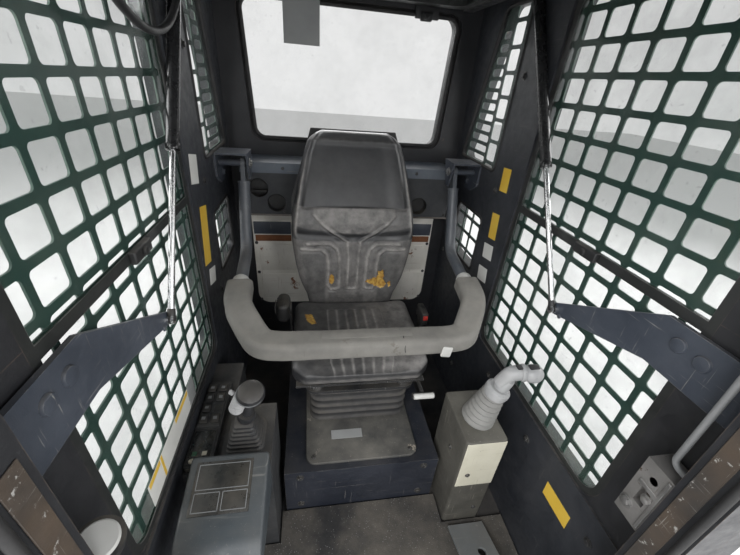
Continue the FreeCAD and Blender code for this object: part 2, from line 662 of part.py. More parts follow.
def front_frame():
    """The front posts, header and sill round the door opening."""
    body = plate("front_frame", "xz", "front_face", "front_thickness",
                 rectangle("-" + INNER, INNER, "floor_top", "frame_top"),
                 holes=[rectangle("-door_half_width", "door_half_width", "door_sill", "door_head")],
                 hole_rounds=[(0, ALL_FOUR, "door_corner")])
    keep(body, "front_frame")


REAR_WINDOW = [("-rear_half_low", "rear_glass_sill"), ("rear_half_low", "rear_glass_sill"),
               ("rear_half_high", "rear_glass_head"), ("-rear_half_high", "rear_glass_head")]


def inset(corners, amount):
    """A four-cornered outline drawn in by a formula on every side."""
    signs = ((1, 1), (-1, 1), (-1, -1), (1, -1))
    return [("(%s) + %d * (%s)" % (across, sx, amount), "(%s) + %d * (%s)" % (up, sz, amount))
            for (across, up), (sx, sz) in zip(corners, signs)]


def rear_frame():
    """The rear wall with its window cut."""
    body = plate("rear_frame", "xz", REAR_INSIDE, "rear_thickness",
                 rectangle("-" + INNER, INNER, "floor_top", "frame_top"), holes=[REAR_WINDOW],
                 hole_rounds=[(0, ALL_FOUR, "rear_corner")])
    keep(body, "rear_frame")


def rear_window():
    """The rear glass and the rubber seal that holds it."""
    middle = REAR_INSIDE + " + seal_setback"
    pane = inset(REAR_WINDOW, "seal_width")
    seal = plate("rear_seal", "xz", middle + " - seal_depth / 2", "seal_depth", REAR_WINDOW,
                 holes=[pane], rounds=[(ALL_FOUR, "rear_corner")],
                 hole_rounds=[(0, ALL_FOUR, "rear_corner - seal_width")])
    keep(seal, "rear_seal")
    glass = plate("rear_glass", "xz", middle + " - rear_glass_thickness / 2",
                  "rear_glass_thickness", pane, rounds=[(ALL_FOUR, "rear_corner - seal_width")])
    keep(glass, "rear_glass")


def roof():
    """The roof shell, open below, and the headliner that closes it."""
    shell = block("roof_block", ("-cab_width / 2", "cab_width / 2"), ("front_face", "rear_face"),
                  ("frame_top", "frame_top + roof_thickness"))
    room = block("roof_room", ("-(cab_width / 2 - roof_rim)", "cab_width / 2 - roof_rim"),
                 ("front_face + roof_rim", "rear_face - roof_rim"),
                 ("frame_top - 1", "frame_top + roof_thickness - roof_sheet"))
    keep(cut("roof_shell", shell, [room]), "roof_shell")
    lining = block("headliner", ("-(cab_width / 2 - roof_rim)", "cab_width / 2 - roof_rim"),
                   ("front_face + roof_rim", "rear_face - roof_rim"),
                   ("frame_top", "frame_top + headliner_thickness"))
    keep(lining, "headliner")


# Windows and guards

def upper_pane():
    """Corners of the upper side pane."""
    low, high = SIDE_WINDOW[1][0], SIDE_WINDOW[2][0]
    rise = "(rail_bottom + rail_height - window_sill) / (window_head - window_sill)"
    rear = "window_rear_low + (window_rear_high - window_rear_low) * " + rise
    return [("window_front + window_rim", "rail_bottom + rail_height"),
            ("%s - window_rim" % rear, "rail_bottom + rail_height"),
            ("%s - window_rim" % high, "window_head - window_rim"),
            ("window_front + window_rim", "window_head - window_rim")]


def lower_pane():
    """Corners of the lower side pane."""
    rise = "(rail_bottom - window_sill) / (window_head - window_sill)"
    rear = "window_rear_low + (window_rear_high - window_rear_low) * " + rise
    return [("window_front + window_rim", "window_sill + window_rim"),
            ("window_rear_low - window_rim", "window_sill + window_rim"),
            ("%s - window_rim" % rear, "rail_bottom"), ("window_front + window_rim", "rail_bottom")]


def side_window(name, side):
    """A side window's frame with its middle rail, and its two sliding panes."""
    first = INNER + " + window_inset"
    start, thick = along_x(side, first, first + " + window_rim_depth")
    frame = plate("window_frame_" + name, "yz", start, thick, SIDE_WINDOW,
                  holes=[upper_pane(), lower_pane()], rounds=[(ALL_FOUR, "window_corner")],
                  hole_rounds=[(0, [2, 3], "window_corner - window_rim"),
                               (1, [0, 1], "window_corner - window_rim")])
    keep(frame, "window_frame_" + name)
    face = first + " + glass_setback"
    start, thick = along_x(side, face, face + " + glass_thickness")
    round_glass = "window_corner - window_rim"
    upper = plate("upper_pane_" + name, "yz", start, thick, upper_pane(),
                  rounds=[([2, 3], round_glass)])
    lower = plate("lower_pane_" + name, "yz", start, thick, lower_pane(),
                  rounds=[([0, 1], round_glass)])
    return [upper, lower]


def side_guard(name, side):
    """The punched steel guard outside a side window."""
    outer = "cab_width / 2 - guard_inset"
    start, thick = along_x(side, outer + " - guard_sheet", outer)
    body = plate("side_guard_" + name, "yz", start, thick, SIDE_WINDOW,
                 rounds=[(ALL_FOUR, "window_corner")])
    hole = ("guard_first_hole", "guard_first_hole + guard_hole_width",
            "guard_first_row", "guard_first_row + guard_hole_height")
    columns = copies("guard_first_hole", "window_rear_low", "guard_pitch")
    rows = copies("guard_first_row", "window_head", "guard_row_pitch")
    punch(body, "cell_" + name, start, hole, "guard_hole_corner",
          (size("guard_pitch"), columns), (size("guard_row_pitch"), rows))
    keep(body, "side_guard_" + name)


def slots(body, name, start):
    """Cut the upper quarter guard's slots, which run from one line to the sheet's slanted edge."""
    sketch = sketch_on(body, "yz", name, start)
    share = "(%s - quarter_sill) / (quarter_head - quarter_sill)"
    for row in range(int(size("slot_count"))):
        low = "(slot_first_row + %d * slot_pitch)" % row
        middle = low + " + slot_height / 2"
        rear = "quarter_rear_low + (quarter_rear_high - quarter_rear_low) * " + share % middle
        soft_rectangle(sketch, "slot_front", rear + " - slot_end", low, low + " + slot_height",
                       "guard_hole_corner")
    cutter = body.newObject("PartDesign::Pocket", name + "_cut")
    cutter.Profile = sketch
    cutter.Type = "ThroughAll"
    cutter.Midplane = True
    body.Tip = cutter


def quarter_guards(name, side):
    """The two quarter windows' guards: holes and slots above, and a grid below."""
    outer = "cab_width / 2 - guard_inset"
    start, thick = along_x(side, outer + " - guard_sheet", outer)
    upper = plate("upper_guard_" + name, "yz", start, thick, UPPER_QUARTER,
                  rounds=[(ALL_FOUR, "quarter_corner")])
    doc.recompute()
    slots(upper, "slot_" + name, start)
    doc.recompute()
    hole = ("panel_first_hole", "panel_first_hole + panel_hole_width",
            "panel_first_row", "panel_first_row + panel_hole_height")
    punch(upper, "hole_" + name, start, hole, "guard_hole_corner", (size("panel_pitch"), 2),
          (size("panel_row_pitch"), copies("panel_first_row", "quarter_head", "panel_row_pitch")))
    lower = plate("lower_guard_" + name, "yz", start, thick, LOWER_QUARTER,
                  rounds=[(ALL_FOUR, "quarter_corner")])
    cell = ("cell_first_hole", "cell_first_hole + cell_width",
            "cell_first_row", "cell_first_row + cell_height")
    punch(lower, "mesh_" + name, start, cell, "guard_hole_corner",
          (size("cell_pitch"), copies("cell_first_hole", "lower_quarter_rear", "cell_pitch")),
          (size("cell_row_pitch"), copies("cell_first_row", "lower_quarter_head", "cell_row_pitch")))
    keep(group("quarter_guards_" + name, [upper, lower]), "quarter_guards_" + name)


def quarter_glass():
    """The four fixed quarter panes."""
    face = INNER + " + glass_setback"
    panes = []
    for name, side in SIDES:
        start, thick = along_x(side, face, face + " + glass_thickness")
        for place, outline in (("upper", UPPER_QUARTER), ("lower", LOWER_QUARTER)):
            panes.append(plate("%s_quarter_pane_%s" % (place, name), "yz", start, thick, outline,
                               rounds=[(ALL_FOUR, "quarter_corner")]))
    keep(group("quarter_glass", panes), "quarter_glass")


# Behind the seat

def duct():
    """The duct box with its round outlets, and the cap on it."""
    body = block("duct_body", ("-duct_half_width", "duct_half_width"), ("duct_front", REAR_INSIDE),
                 ("duct_bottom", "duct_top"))
    places = (("upper_right", -1, "duct_half_width - 60", "duct_top - 58"),
              ("lower_right", -1, "duct_half_width - 122", "duct_bottom + 50"),
              ("left", 1, "duct_half_width - 122", "duct_bottom + 50"))
    vents, outlets = [], []
    for name, side, across, up in places:
        vents.append(rod("vent_" + name, "y", ("%d * (%s)" % (side, across), "duct_front - 1", up),
                         "vent_depth + 1", "vent_radius"))
        outlets.append(rod("outlet_" + name, "y",
                           ("%d * (%s)" % (side, across), "duct_front + vent_recess", up),
                           "vent_depth - vent_recess", "vent_radius - vent_play"))
    keep(cut("duct_box", body, vents), "duct_box")
    keep(group("air_outlets", outlets), "air_outlets")
    cap = block("duct_cap", ("-duct_half_width", "duct_half_width"),
                ("duct_front - duct_cap_overhang", REAR_INSIDE),
                ("duct_top", "duct_top + duct_cap_height"))
    keep(cap, "duct_cap")


def rear_cover():
    """The pale cover on the rear wall below the duct box."""
    body = plate("rear_cover", "xz", REAR_INSIDE + " - cover_thickness", "cover_thickness",
                 rectangle("-cover_half_width", "cover_half_width", "cover_bottom", "duct_bottom"),
                 rounds=[([0, 1], "window_corner")])
    keep(body, "rear_cover")


# Seat

PLATE_UNDER = "riser_top + tray_thickness + bellows_height"
PLATE_OVER = "riser_top + tray_thickness + bellows_height + tray_thickness"
PAN_UNDER = PLATE_OVER + " + slide_height + slide_clearance"
PAN_OVER = PAN_UNDER + " + pan_thickness"


def seat_riser():
    """The folded sheet riser under the seat, open below and behind."""
    body = block("riser_block", ("-riser_half_width", "riser_half_width"),
                 ("riser_front", "riser_rear"), ("floor_top", "riser_top"))
    room = block("riser_room", ("-(riser_half_width - riser_sheet)", "riser_half_width - riser_sheet"),
                 ("riser_front + riser_sheet", "riser_rear + 1"),
                 ("floor_top - 1", "riser_top - riser_sheet"))
    keep(cut("seat_riser", body, [room]), "seat_riser")


def suspension():
    """The suspension's two plates and the bellows between them."""
    lower = plate("suspension_base", "xy", "riser_top", "tray_thickness",
                  rectangle("-tray_half_width", "tray_half_width", "tray_front", "tray_rear"),
                  rounds=[(ALL_FOUR, "tray_corner")])
    keep(lower, "suspension_base")
    bellows = plate("suspension_bellows", "xy", "riser_top + tray_thickness", "bellows_height",
                    rectangle("-(tray_half_width - bellows_inset)", "tray_half_width - bellows_inset",
                              "top_plate_front + bellows_inset", "tray_rear - bellows_inset"),
                    rounds=[(ALL_FOUR, "tray_corner")])
    keep(bellows, "suspension_bellows")
    upper = plate("suspension_top", "xy", PLATE_UNDER, "tray_thickness",
                  rectangle("-tray_half_width", "tray_half_width", "top_plate_front", "tray_rear"),
                  rounds=[(ALL_FOUR, "tray_corner")])
    keep(upper, "suspension_top")


def slide_ends(side, half):
    """X formulas of a strip about a slide's centre."""
    return "%d * slide_centre - (%s)" % (side, half), "%d * slide_centre + (%s)" % (side, half)


def seat_slides():
    """The fixed rails, and the pan with the runners that straddle them."""
    rails = [block("slide_rail_" + name, slide_ends(side, "slide_width / 2"),
                   ("top_plate_front + bellows_inset", "tray_rear - bellows_inset"),
                   (PLATE_OVER, PLATE_OVER + " + slide_height")) for name, side in SIDES]
    keep(group("seat_rails", rails), "seat_rails")
    pieces = [block("pan_sheet", ("-pan_half_width", "pan_half_width"),
                    ("cushion_front + bellows_inset", "cushion_rear + back_gap + back_depth"),
                    (PAN_UNDER, PAN_OVER))]
    for name, side in SIDES:
        inside = "slide_width / 2 + slide_clearance"
        for edge, sign in (("a", 1), ("b", -1)):
            near = "%d * slide_centre + %d * (%s)" % (side, sign, inside)
            far = near + " + %d * runner_wall" % sign
            pieces.append(block("runner_%s_%s" % (name, edge), (near, far) if sign > 0 else (far, near),
                                ("top_plate_front + bellows_inset", "tray_rear - bellows_inset"),
                                (PLATE_OVER + " + slide_height / 4", PAN_UNDER)))
    keep(fuse("seat_pan", pieces), "seat_pan")


def seat_cushion():
    """The cushion with its rolled front edge."""
    outline = [("cushion_front", PAN_OVER), ("cushion_rear", PAN_OVER),
               ("cushion_rear", PAN_OVER + " + cushion_height"),
               ("cushion_front", PAN_OVER + " + cushion_height")]
    body = plate("seat_cushion", "yz", "-cushion_half_width", "2 * cushion_half_width", outline,
                 rounds=[([3], "cushion_roll")])
    keep(body, "seat_cushion")


def back_profile(offset, depth, foot, top):
    """Side outline of a layer of the backrest, a given distance behind its front face."""
    front = "cushion_rear + back_gap + " + offset
    lean = front + " + back_lean"
    return [(front, foot), ("%s + %s" % (front, depth), foot),
            ("%s + %s" % (front, depth), "back_wide_height"),
            ("%s + %s" % (lean, depth), top), (lean, top), (front, "back_wide_height")]


def backrest_layer(name, offset, depth, foot):
    """A layer of the backrest: its side outline, narrowed to the backrest's front outline."""
    body = plate(name, "yz", "-back_half_width", "2 * back_half_width",
                 back_profile(offset, depth, foot, "back_top"))
    doc.recompute()
    sketch = sketch_on(body, "xz", name + "_sides", "0")
    for side in (1, -1):
        reach = "%d * (back_half_width + 20)" % side
        waist = "%d * back_half_width" % side
        loop(sketch, [(reach, foot + " - 20"), (reach, "back_top + 20"),
                      ("%d * back_top_half" % side, "back_top + 20"),
                      ("%d * back_top_half" % side, "back_top"), (waist, "back_wide_height + 60"),
                      (waist, "back_wide_height - 40"), ("%d * back_foot_half" % side, foot),
                      ("%d * back_foot_half" % side, foot + " - 20")])
    sides = body.newObject("PartDesign::Pocket", name + "_trim")
    sides.Profile = sketch
    sides.Type = "ThroughAll"
    sides.Midplane = True
    body.Tip = sides
    return body


def seat_back():
    """The backrest and the shell behind it, whose foot is bolted to the seat pan."""
    keep(backrest_layer("seat_backrest", "0", "back_depth - shell_thickness", "back_foot"),
         "seat_backrest")
    keep(backrest_layer("seat_back_shell", "back_depth - shell_thickness", "shell_thickness",
                        "(%s)" % PAN_OVER), "seat_back_shell")


def belt_fitting(name, side, front, length, width, bottom, height):
    """A belt fitting: its case beside the cushion, on a stalk from the seat pan."""
    near = "cushion_half_width + belt_gap"
    face = near + " + stalk_thickness"
    case = block(name + "_case", mirrored(side, face, "%s + %s" % (face, width)),
                 (front, "%s + %s" % (front, length)), (bottom, "%s + %s" % (bottom, height)))
    back = "(%s) + (%s) / 3" % (front, length)
    strip = (back, back + " + (%s) / 3" % length)
    stalk = block(name + "_stalk", mirrored(side, near, face), strip,
                  (PAN_UNDER, "%s + %s * 2 / 3" % (bottom, height)))
    foot = block(name + "_foot", mirrored(side, "pan_half_width", near), strip, (PAN_UNDER, PAN_OVER))
    keep(fuse(name, [case, stalk, foot]), name)


def seat_lever():
    """The slide's lever: a rod with a cross grip under the front of the cushion."""
    level = PAN_UNDER
    shank = rod("lever_shank", "y", ("lever_x", "lever_front", level),
                "cushion_front + bellows_inset - lever_front", "lever_radius")
    grip = rod("lever_grip", "x", ("lever_x - lever_grip", "lever_front", level),
               "2 * lever_grip", "lever_radius + 3")
    keep(fuse("seat_lever", [shank, grip]), "seat_lever")


# Lap bar

def tube_wire(points, bend):
    """A wire of straight runs through the points, joined by tangent arcs of one bend radius."""
    edges = []
    start = points[0]
    for before, corner, after in zip(points, points[1:], points[2:]):
        back = (before - corner).normalize()
        ahead = (after - corner).normalize()
        turn = math.pi - back.getAngle(ahead)
        radius = min(bend, 0.45 * min((before - corner).Length, (after - corner).Length)
                     / math.tan(turn / 2))
        trim = radius * math.tan(turn / 2)
        leave, join = corner + back * trim, corner + ahead * trim
        middle = (back + ahead).normalize()
        peak = corner + middle * (radius / math.cos(turn / 2) - radius)
        edges.append(Part.LineSegment(start, leave).toShape())
        edges.append(Part.Arc(leave, peak, join).toShape())
        start = join
    edges.append(Part.LineSegment(start, points[-1]).toShape())
    return Part.Wire(edges)


def tube(wire, radius):
    """A round tube's solid along a wire."""
    edge = wire.Edges[0]
    start = edge.valueAt(edge.FirstParameter)
    direction = edge.tangentAt(edge.FirstParameter)
    circle = Part.Wire(Part.makeCircle(radius, start, direction))
    return wire.makePipeShell([circle], True, False)


def lap_bar_points(from_pad):
    """The lap bar's route from its right end round the front to its left end."""
    pin = Vector(size("bar_half_width"), size("pivot_y"), size("pivot_z"))
    bend = Vector(size("bar_half_width"), size("bar_bend_y"), size("bar_bend_z"))
    half = [pin + (bend - pin).normalize() * size("lug_length"), bend,
            Vector(size("bar_half_width") - 10, size("bar_arm_y"), size("bar_arm_z")),
            Vector(size("bar_front_half"), size("bar_front_y"), size("bar_front_z"))]
    if from_pad:
        share = (size("bar_bend_y") - size("pad_start_y")) / (size("bar_bend_y") - size("bar_arm_y"))
        half = [half[1] + (half[2] - half[1]) * share] + half[2:]
    right = [Vector(-p.x, p.y, p.z) for p in half]
    return right + half[::-1]


def feature(name, shape):
    """A sub-part whose shape is worked out from the sheet's sizes."""
    item = doc.addObject("Part::Feature", name)
    item.Shape = shape
    item.Placement = Placement()
    return keep(item, name)


def lap_bar_lug(side):
    """The flat lug at an end of the lap bar, with the cap that it is welded to."""
    pin = Vector(0, size("pivot_y"), size("pivot_z"))
    down = (Vector(0, size("bar_bend_y"), size("bar_bend_z")) - pin).normalize()
    across = Vector(0, -down.z, down.y)
    left = side * size("bar_half_width") - size("lug_width") / 2
    thick = Vector(size("lug_width"), 0, 0)
    foot = pin + down * (size("lug_length") + size("lug_root"))
    half = size("lug_radius") - 4
    corners = [pin + across * half, foot + across * half, foot - across * half, pin - across * half]
    corners = [corner + Vector(left, 0, 0) for corner in corners]
    bar = Part.Face(Part.makePolygon(corners + corners[:1])).extrude(thick)
    eye = Part.makeCylinder(size("lug_radius"), size("lug_width"), pin + Vector(left, 0, 0),
                            Vector(1, 0, 0))
    end = pin + Vector(side * size("bar_half_width"), 0, 0) + down * size("lug_length")
    cap = Part.makeCylinder(size("bar_radius") + 1.5, size("tube_cap"), end, down)
    return bar.fuse([eye, cap])


def lap_bar():
    """The bent tube with a lug at each end, and the foam pad round its front."""
    wire = tube_wire(lap_bar_points(False), size("bar_bend_radius"))
    shape = tube(wire, size("bar_radius"))
    for name, side in SIDES:
        shape = shape.fuse(lap_bar_lug(side))
    bore = size("pivot_radius") + size("pivot_clearance")
    for name, side in SIDES:
        start = Vector(side * (size("bar_half_width") - size("lug_width")), size("pivot_y"),
                       size("pivot_z"))
        shape = shape.cut(Part.makeCylinder(bore, 2 * size("lug_width"), start, Vector(side, 0, 0)))
    feature("lap_bar_tube", shape.removeSplitter())
    wire = tube_wire(lap_bar_points(True), size("bar_bend_radius"))
    pad = tube(wire, size("pad_radius")).cut(tube(wire, size("bar_radius") + size("pad_clearance")))
    feature("lap_bar_pad", pad)


def pivot_bracket(name, side):
    """The folded bracket on the inner side panel: its top, two cheeks and the lap bar's pin."""
    inner = "bar_half_width - bracket_reach"
    start, thick = along_x(side, inner, "(%s) + bracket_sheet" % inner)
    shoulder = "pivot_z + lug_radius / 2"
    outline = [("bracket_front", "bracket_top"), ("bracket_front + 8", shoulder),
               ("pivot_y - cheek_tip", "pivot_z - cheek_drop"),
               ("pivot_y + cheek_tip", "pivot_z - cheek_drop"),
               ("bracket_rear - 12", shoulder), ("bracket_rear", "bracket_top")]
    cheek = plate("bracket_cheek_" + name, "yz", start, thick, outline)
    start, thick = along_x(side, LINER + " - bracket_sheet", LINER)
    outline = [("bracket_front - 6", "bracket_bottom + 30"), ("pivot_y", "bracket_bottom"),
               ("bracket_rear", "bracket_bottom"), ("bracket_rear", "bracket_top"),
               ("bracket_front - 6", "bracket_top")]
    wall = plate("bracket_wall_" + name, "yz", start, thick, outline)
    top = block("bracket_top_" + name, mirrored(side, inner, LINER),
                ("bracket_front", "bracket_rear"), ("bracket_top - bracket_sheet", "bracket_top"))
    low, high = mirrored(side, inner, LINER)
    pin = rod("bracket_pin_" + name, "x", (low, "pivot_y", "pivot_z"),
              "(%s) - (%s)" % (high, low), "pivot_radius")
    keep(fuse("pivot_bracket_" + name, [cheek, wall, top, pin]), "pivot_bracket_" + name)


# Stowed door and its struts

def strut_ends(side):
    """Lower and upper pivot of a gas strut."""
    low = Vector(side * size("strut_low_x"), size("strut_low_y"), size("strut_low_z"))
    high = Vector(side * size("strut_low_x"), size("strut_high_y"),
                  size("door_bottom") + size("door_depth") / 2)
    return low, high


def gas_struts():
    """The two struts: rods with their lower eyes, and cylinders with their upper eyes."""
    rods, cylinders = [], []
    eye = 2 * size("strut_stud_radius")
    for name, side in SIDES:
        low, high = strut_ends(side)
        run = (high - low).normalize()
        across = Vector(side, 0, 0)
        back = across * (size("strut_eye_width") / 2)
        meet = low + run * size("strut_rod_length")
        shape = Part.makeCylinder(size("strut_rod_radius"), size("strut_rod_length"), low, run)
        ends = Part.makeCylinder(eye, size("strut_eye_width"), low - back, across)
        rods.append(shape.fuse(ends).removeSplitter())
        neck = high - run * size("strut_neck_length")
        shape = Part.makeCylinder(size("strut_cylinder_radius"), (neck - meet).Length, meet, run)
        shape = shape.fuse(Part.makeCylinder(size("strut_rod_radius"), size("strut_neck_length"),
                                             neck, run))
        ends = Part.makeCylinder(eye, size("strut_eye_width"), high - back, across)
        cylinders.append(shape.fuse(ends).removeSplitter())
    feature("strut_rods", Part.makeCompound(rods))
    feature("strut_cylinders", Part.makeCompound(cylinders))


def strut_bracket(name, side):
    """The steel arm from the front frame and the side panel that carries a strut's lower end."""
    face = "strut_low_x + strut_eye_width / 2"
    start, thick = along_x(side, face, face + " + plate_thickness")
    outline = [(FRONT_INSIDE, "plate_root_bottom"), ("plate_knee", "plate_root_bottom"),
               ("strut_low_y + 8", "strut_low_z - 16"), ("strut_low_y + 14", "strut_low_z + 10"),
               ("plate_knee", "plate_root_top"), (FRONT_INSIDE, "plate_root_top")]
    keep(plate("strut_bracket_" + name, "yz", start, thick, outline), "strut_bracket_" + name)


def stowed_door():
    """The front door as it is stowed under the roof: its rim and its glass."""
    rim_outline = rectangle("-door_leaf_half", "door_leaf_half", "door_leaf_front", "door_leaf_rear")
    pane = rectangle("-(door_leaf_half - door_rim)", "door_leaf_half - door_rim",
                     "door_leaf_front + door_rim", "door_leaf_rear - door_rim")
    body = plate("door_rim", "xy", "door_bottom", "door_depth", rim_outline, holes=[pane],
                 rounds=[(ALL_FOUR, "door_corner")], hole_rounds=[(0, ALL_FOUR, "door_rim")])
    studs = []
    for name, side in SIDES:
        low, high = mirrored(side, "door_leaf_half - 1", "strut_low_x - strut_eye_width / 2")
        studs.append(rod("door_stud_" + name, "x",
                         (low, "strut_high_y", "door_bottom + door_depth / 2"),
                         "(%s) - (%s)" % (high, low), "strut_stud_radius"))
    keep(fuse("door_frame", [body] + studs), "door_frame")
    glass = plate("door_glass", "xy", "door_bottom + door_depth / 2", "door_glass_thickness", pane,
                  rounds=[(ALL_FOUR, "door_rim")])
    keep(glass, "door_glass")


def door_tracks():
    """The tracks under the headliner that the door runs on."""
    tracks = []
    for name, side in SIDES:
        near = "door_leaf_half - track_flange"
        under = "door_bottom - track_sheet"
        flange = block("track_flange_" + name,
                       mirrored(side, near, "door_leaf_half + track_gap + track_sheet"),
                       ("strut_high_y + 40", "door_leaf_rear"), (under, "door_bottom"))
        web = block("track_web_" + name,
                    mirrored(side, "door_leaf_half + track_gap",
                             "door_leaf_half + track_gap + track_sheet"),
                    ("strut_high_y + 40", "door_leaf_rear"), (under, "frame_top"))
        flange_front = block("track_front_flange_" + name,
                             mirrored(side, near, "door_leaf_half + track_gap + track_sheet"),
                             ("door_leaf_front", "strut_high_y - 60"), (under, "door_bottom"))
        web_front = block("track_front_web_" + name,
                          mirrored(side, "door_leaf_half + track_gap",
                                   "door_leaf_half + track_gap + track_sheet"),
                          ("door_leaf_front", "strut_high_y - 60"), (under, "frame_top"))
        tracks.append(fuse("track_rear_" + name, [flange, web]))
        tracks.append(fuse("track_front_" + name, [flange_front, web_front]))
    keep(group("door_tracks", tracks), "door_tracks")


# Controls

def control_box(name, side):
    """The box beside the seat that carries a control lever."""
    outer = block(name + "_block", mirrored(side, "console_inner", "console_outer"),
                  ("console_front", "console_rear"), ("floor_top", "console_top"))
    room = block(name + "_room", mirrored(side, "console_inner + console_wall",
                                          "console_outer - console_wall"),
                 ("console_front + console_wall", "console_rear - console_wall"),
                 ("floor_top - 1", "console_top - console_wall"))
    keep(cut(name, outer, [room]), name)


def side_console():
    """The right side console between the control box and the side panel, with the switch panel."""
    low, high = mirrored(-1, "console_outer", LINER)
    outer = block("side_console_block", (low, high), ("side_console_front", "side_console_rear"),
                  ("floor_top", "console_top - 20"))
    room = block("side_console_room", ("(%s) + console_wall" % low, "(%s) - console_wall" % high),
                 ("side_console_front + console_wall", "side_console_rear - console_wall"),
                 ("floor_top - 1", "console_top - 20 - console_wall"))
    keep(cut("side_console", outer, [room]), "side_console")
    panel = plate("switch_panel", "xy", "console_top - 20", "switch_height",
                  rectangle("-(%s)" % LINER, "-(%s - switch_width)" % LINER,
                            "switch_front", "switch_rear"), rounds=[(ALL_FOUR, "console_wall")])
    keep(panel, "switch_panel")


def monitor_pod():
    """The wedge in front of the right control box, with the monitor's face on its slope."""
    start, thick = along_x(-1, "console_inner", "pod_outer")
    outline = [("pod_front", "console_top - pod_height / 2"),
               ("console_front", "console_top - pod_height"), ("console_front", "console_top + pod_low"),
               ("pod_front", "console_top + pod_low / 4")]
    keep(plate("monitor_pod", "yz", start, thick, outline), "monitor_pod")


def control_lever(name, side):
    """A control lever's rubber boot, and its stem with its grip."""
    boot = doc.addObject("Part::Cone", "control_boot_" + name)
    bind(boot, "Radius1", "boot_radius")
    bind(boot, "Radius2", "boot_top_radius")
    bind(boot, "Height", "boot_height")
    for letter, formula in zip("xyz", ("%d * boot_x" % side, "boot_y", "console_top")):
        bind(boot, "Placement.Base." + letter, formula)
    place = ("%d * boot_x" % side, "boot_y", "console_top + boot_height")
    stem = rod("stem_" + name, "z", place, "stem_length + 1", "stem_radius")
    grip = rod("handle_" + name, "z", place[:2] + (place[2] + " + stem_length",),
               "grip_length - grip_radius", "grip_radius")
    knob = doc.addObject("Part::Sphere", "knob_" + name)
    bind(knob, "Radius", "grip_radius")
    for letter, formula in zip("xyz", place[:2] + (place[2] + " + stem_length + grip_length"
                                                   " - grip_radius",)):
        bind(knob, "Placement.Base." + letter, formula)
    return boot, fuse("control_grip_" + name, [stem, grip, knob])


def foot_pedal():
    """The foot pedal on its post in the left of the footwell."""
    start = "pedal_inner"
    mat_top = "floor_top + mat_thickness"
    outline = [("pedal_front", mat_top + " + pedal_rise"), ("pedal_rear", mat_top),
               ("pedal_rear", mat_top + " + pedal_thickness"),
               ("pedal_front", mat_top + " + pedal_rise + pedal_thickness")]
    sheet_part = plate("pedal_sheet", "yz", start, "pedal_width", outline)
    post = block("pedal_post", ("pedal_inner + pedal_width / 3", "pedal_inner + pedal_width * 2 / 3"),
                 ("pedal_front + 12", "pedal_front + 40"),
                 (mat_top, mat_top + " + pedal_rise * 0.8"))
    hole = rod("pedal_hole_tool", "z", ("pedal_inner + pedal_width * 0.6", "pedal_front + 60",
                                        mat_top + " - 1"), "3 * pedal_rise", "pedal_hole")
    keep(cut("foot_pedal", fuse("pedal_whole", [sheet_part, post]), [hole]), "foot_pedal")


# Fittings on the front frame

def door_latch():
    """The door latch's case on the left front post."""
    case = block("latch_case", ("door_half_width + 6", "door_half_width + 6 + latch_width"),
                 (FRONT_INSIDE, FRONT_INSIDE + " + latch_depth"),
                 ("latch_height", "latch_height + latch_length"))
    slot = block("latch_slot", ("door_half_width + 5", "door_half_width + latch_width / 2"),
                 (FRONT_INSIDE + " + latch_depth / 3", FRONT_INSIDE + " + latch_depth * 2 / 3"),
                 ("latch_height + latch_length / 3", "latch_height + latch_length * 2 / 3"))
    keep(cut("door_latch", case, [slot]), "door_latch")


def grab_handle():
    """The bent rod on the left front post."""
    across = size("door_half_width") + size("latch_width") / 2
    face = size("front_face") + size("front_thickness")
    out = face + size("grab_reach")
    points = [Vector(across, face, size("grab_bottom")), Vector(across, out, size("grab_bottom")),
              Vector(across, out, size("grab_top")), Vector(across, face, size("grab_top"))]
    feature("grab_handle", tube(tube_wire(points, 3 * size("grab_radius")), size("grab_radius")))


def door_hose():
    """The washer hose that loops down from the headliner to the stowed door."""
    top = size("frame_top")
    side = -size("door_leaf_half") - 23
    end = size("door_bottom") + size("door_depth") / 2
    points = [Vector(side, y, z) for y, z in (
        (-338, top), (-338, top - 55), (-314, top - 113), (-268, top - 169), (-196, top - 221),
        (-104, top - 245), (-8, top - 231), (76, top - 183), (132, top - 121), (160, top - 79),
        (186, end))]
    points.append(Vector(-size("door_leaf_half"), 186, end))
    wire = tube_wire(points, 400)
    radii = [edge.Curve.Radius for edge in wire.Edges if hasattr(edge.Curve, "Radius")]
    print("hose length %.0f, bends %s" % (wire.Length, ", ".join("%.0f" % r for r in radii)))
    feature("door_hose", tube(wire, size("hose_radius")))


floor_pan()
floor_mat()
front_frame()
rear_frame()
rear_window()
roof()
quarter_glass()
for label, sign in SIDES:
    side_frame(label, sign)
    liner(label, sign)
    side_guard(label, sign)
    quarter_guards(label, sign)
    pivot_bracket(label, sign)
    strut_bracket(label, sign)
keep(group("side_glass", side_window("left", 1) + side_window("right", -1)), "side_glass")
boots, grips = zip(*(control_lever(label, sign) for label, sign in SIDES))
keep(group("control_boots", list(boots)), "control_boots")
keep(group("control_grips", list(grips)), "control_grips")
duct()
rear_cover()
seat_riser()
suspension()
seat_slides()
seat_cushion()
seat_back()
belt_fitting("belt_retractor", -1, "retractor_front", "retractor_depth", "retractor_width",
             "retractor_bottom", "retractor_height")
belt_fitting("belt_buckle", 1, "buckle_front", "buckle_length", "buckle_width",
             "buckle_bottom", "buckle_width * 2")
seat_lever()
lap_bar()
gas_struts()
stowed_door()
door_tracks()
control_box("left_console", 1)
control_box("right_console", -1)
side_console()
monitor_pod()
foot_pedal()
door_latch()
grab_handle()
door_hose()

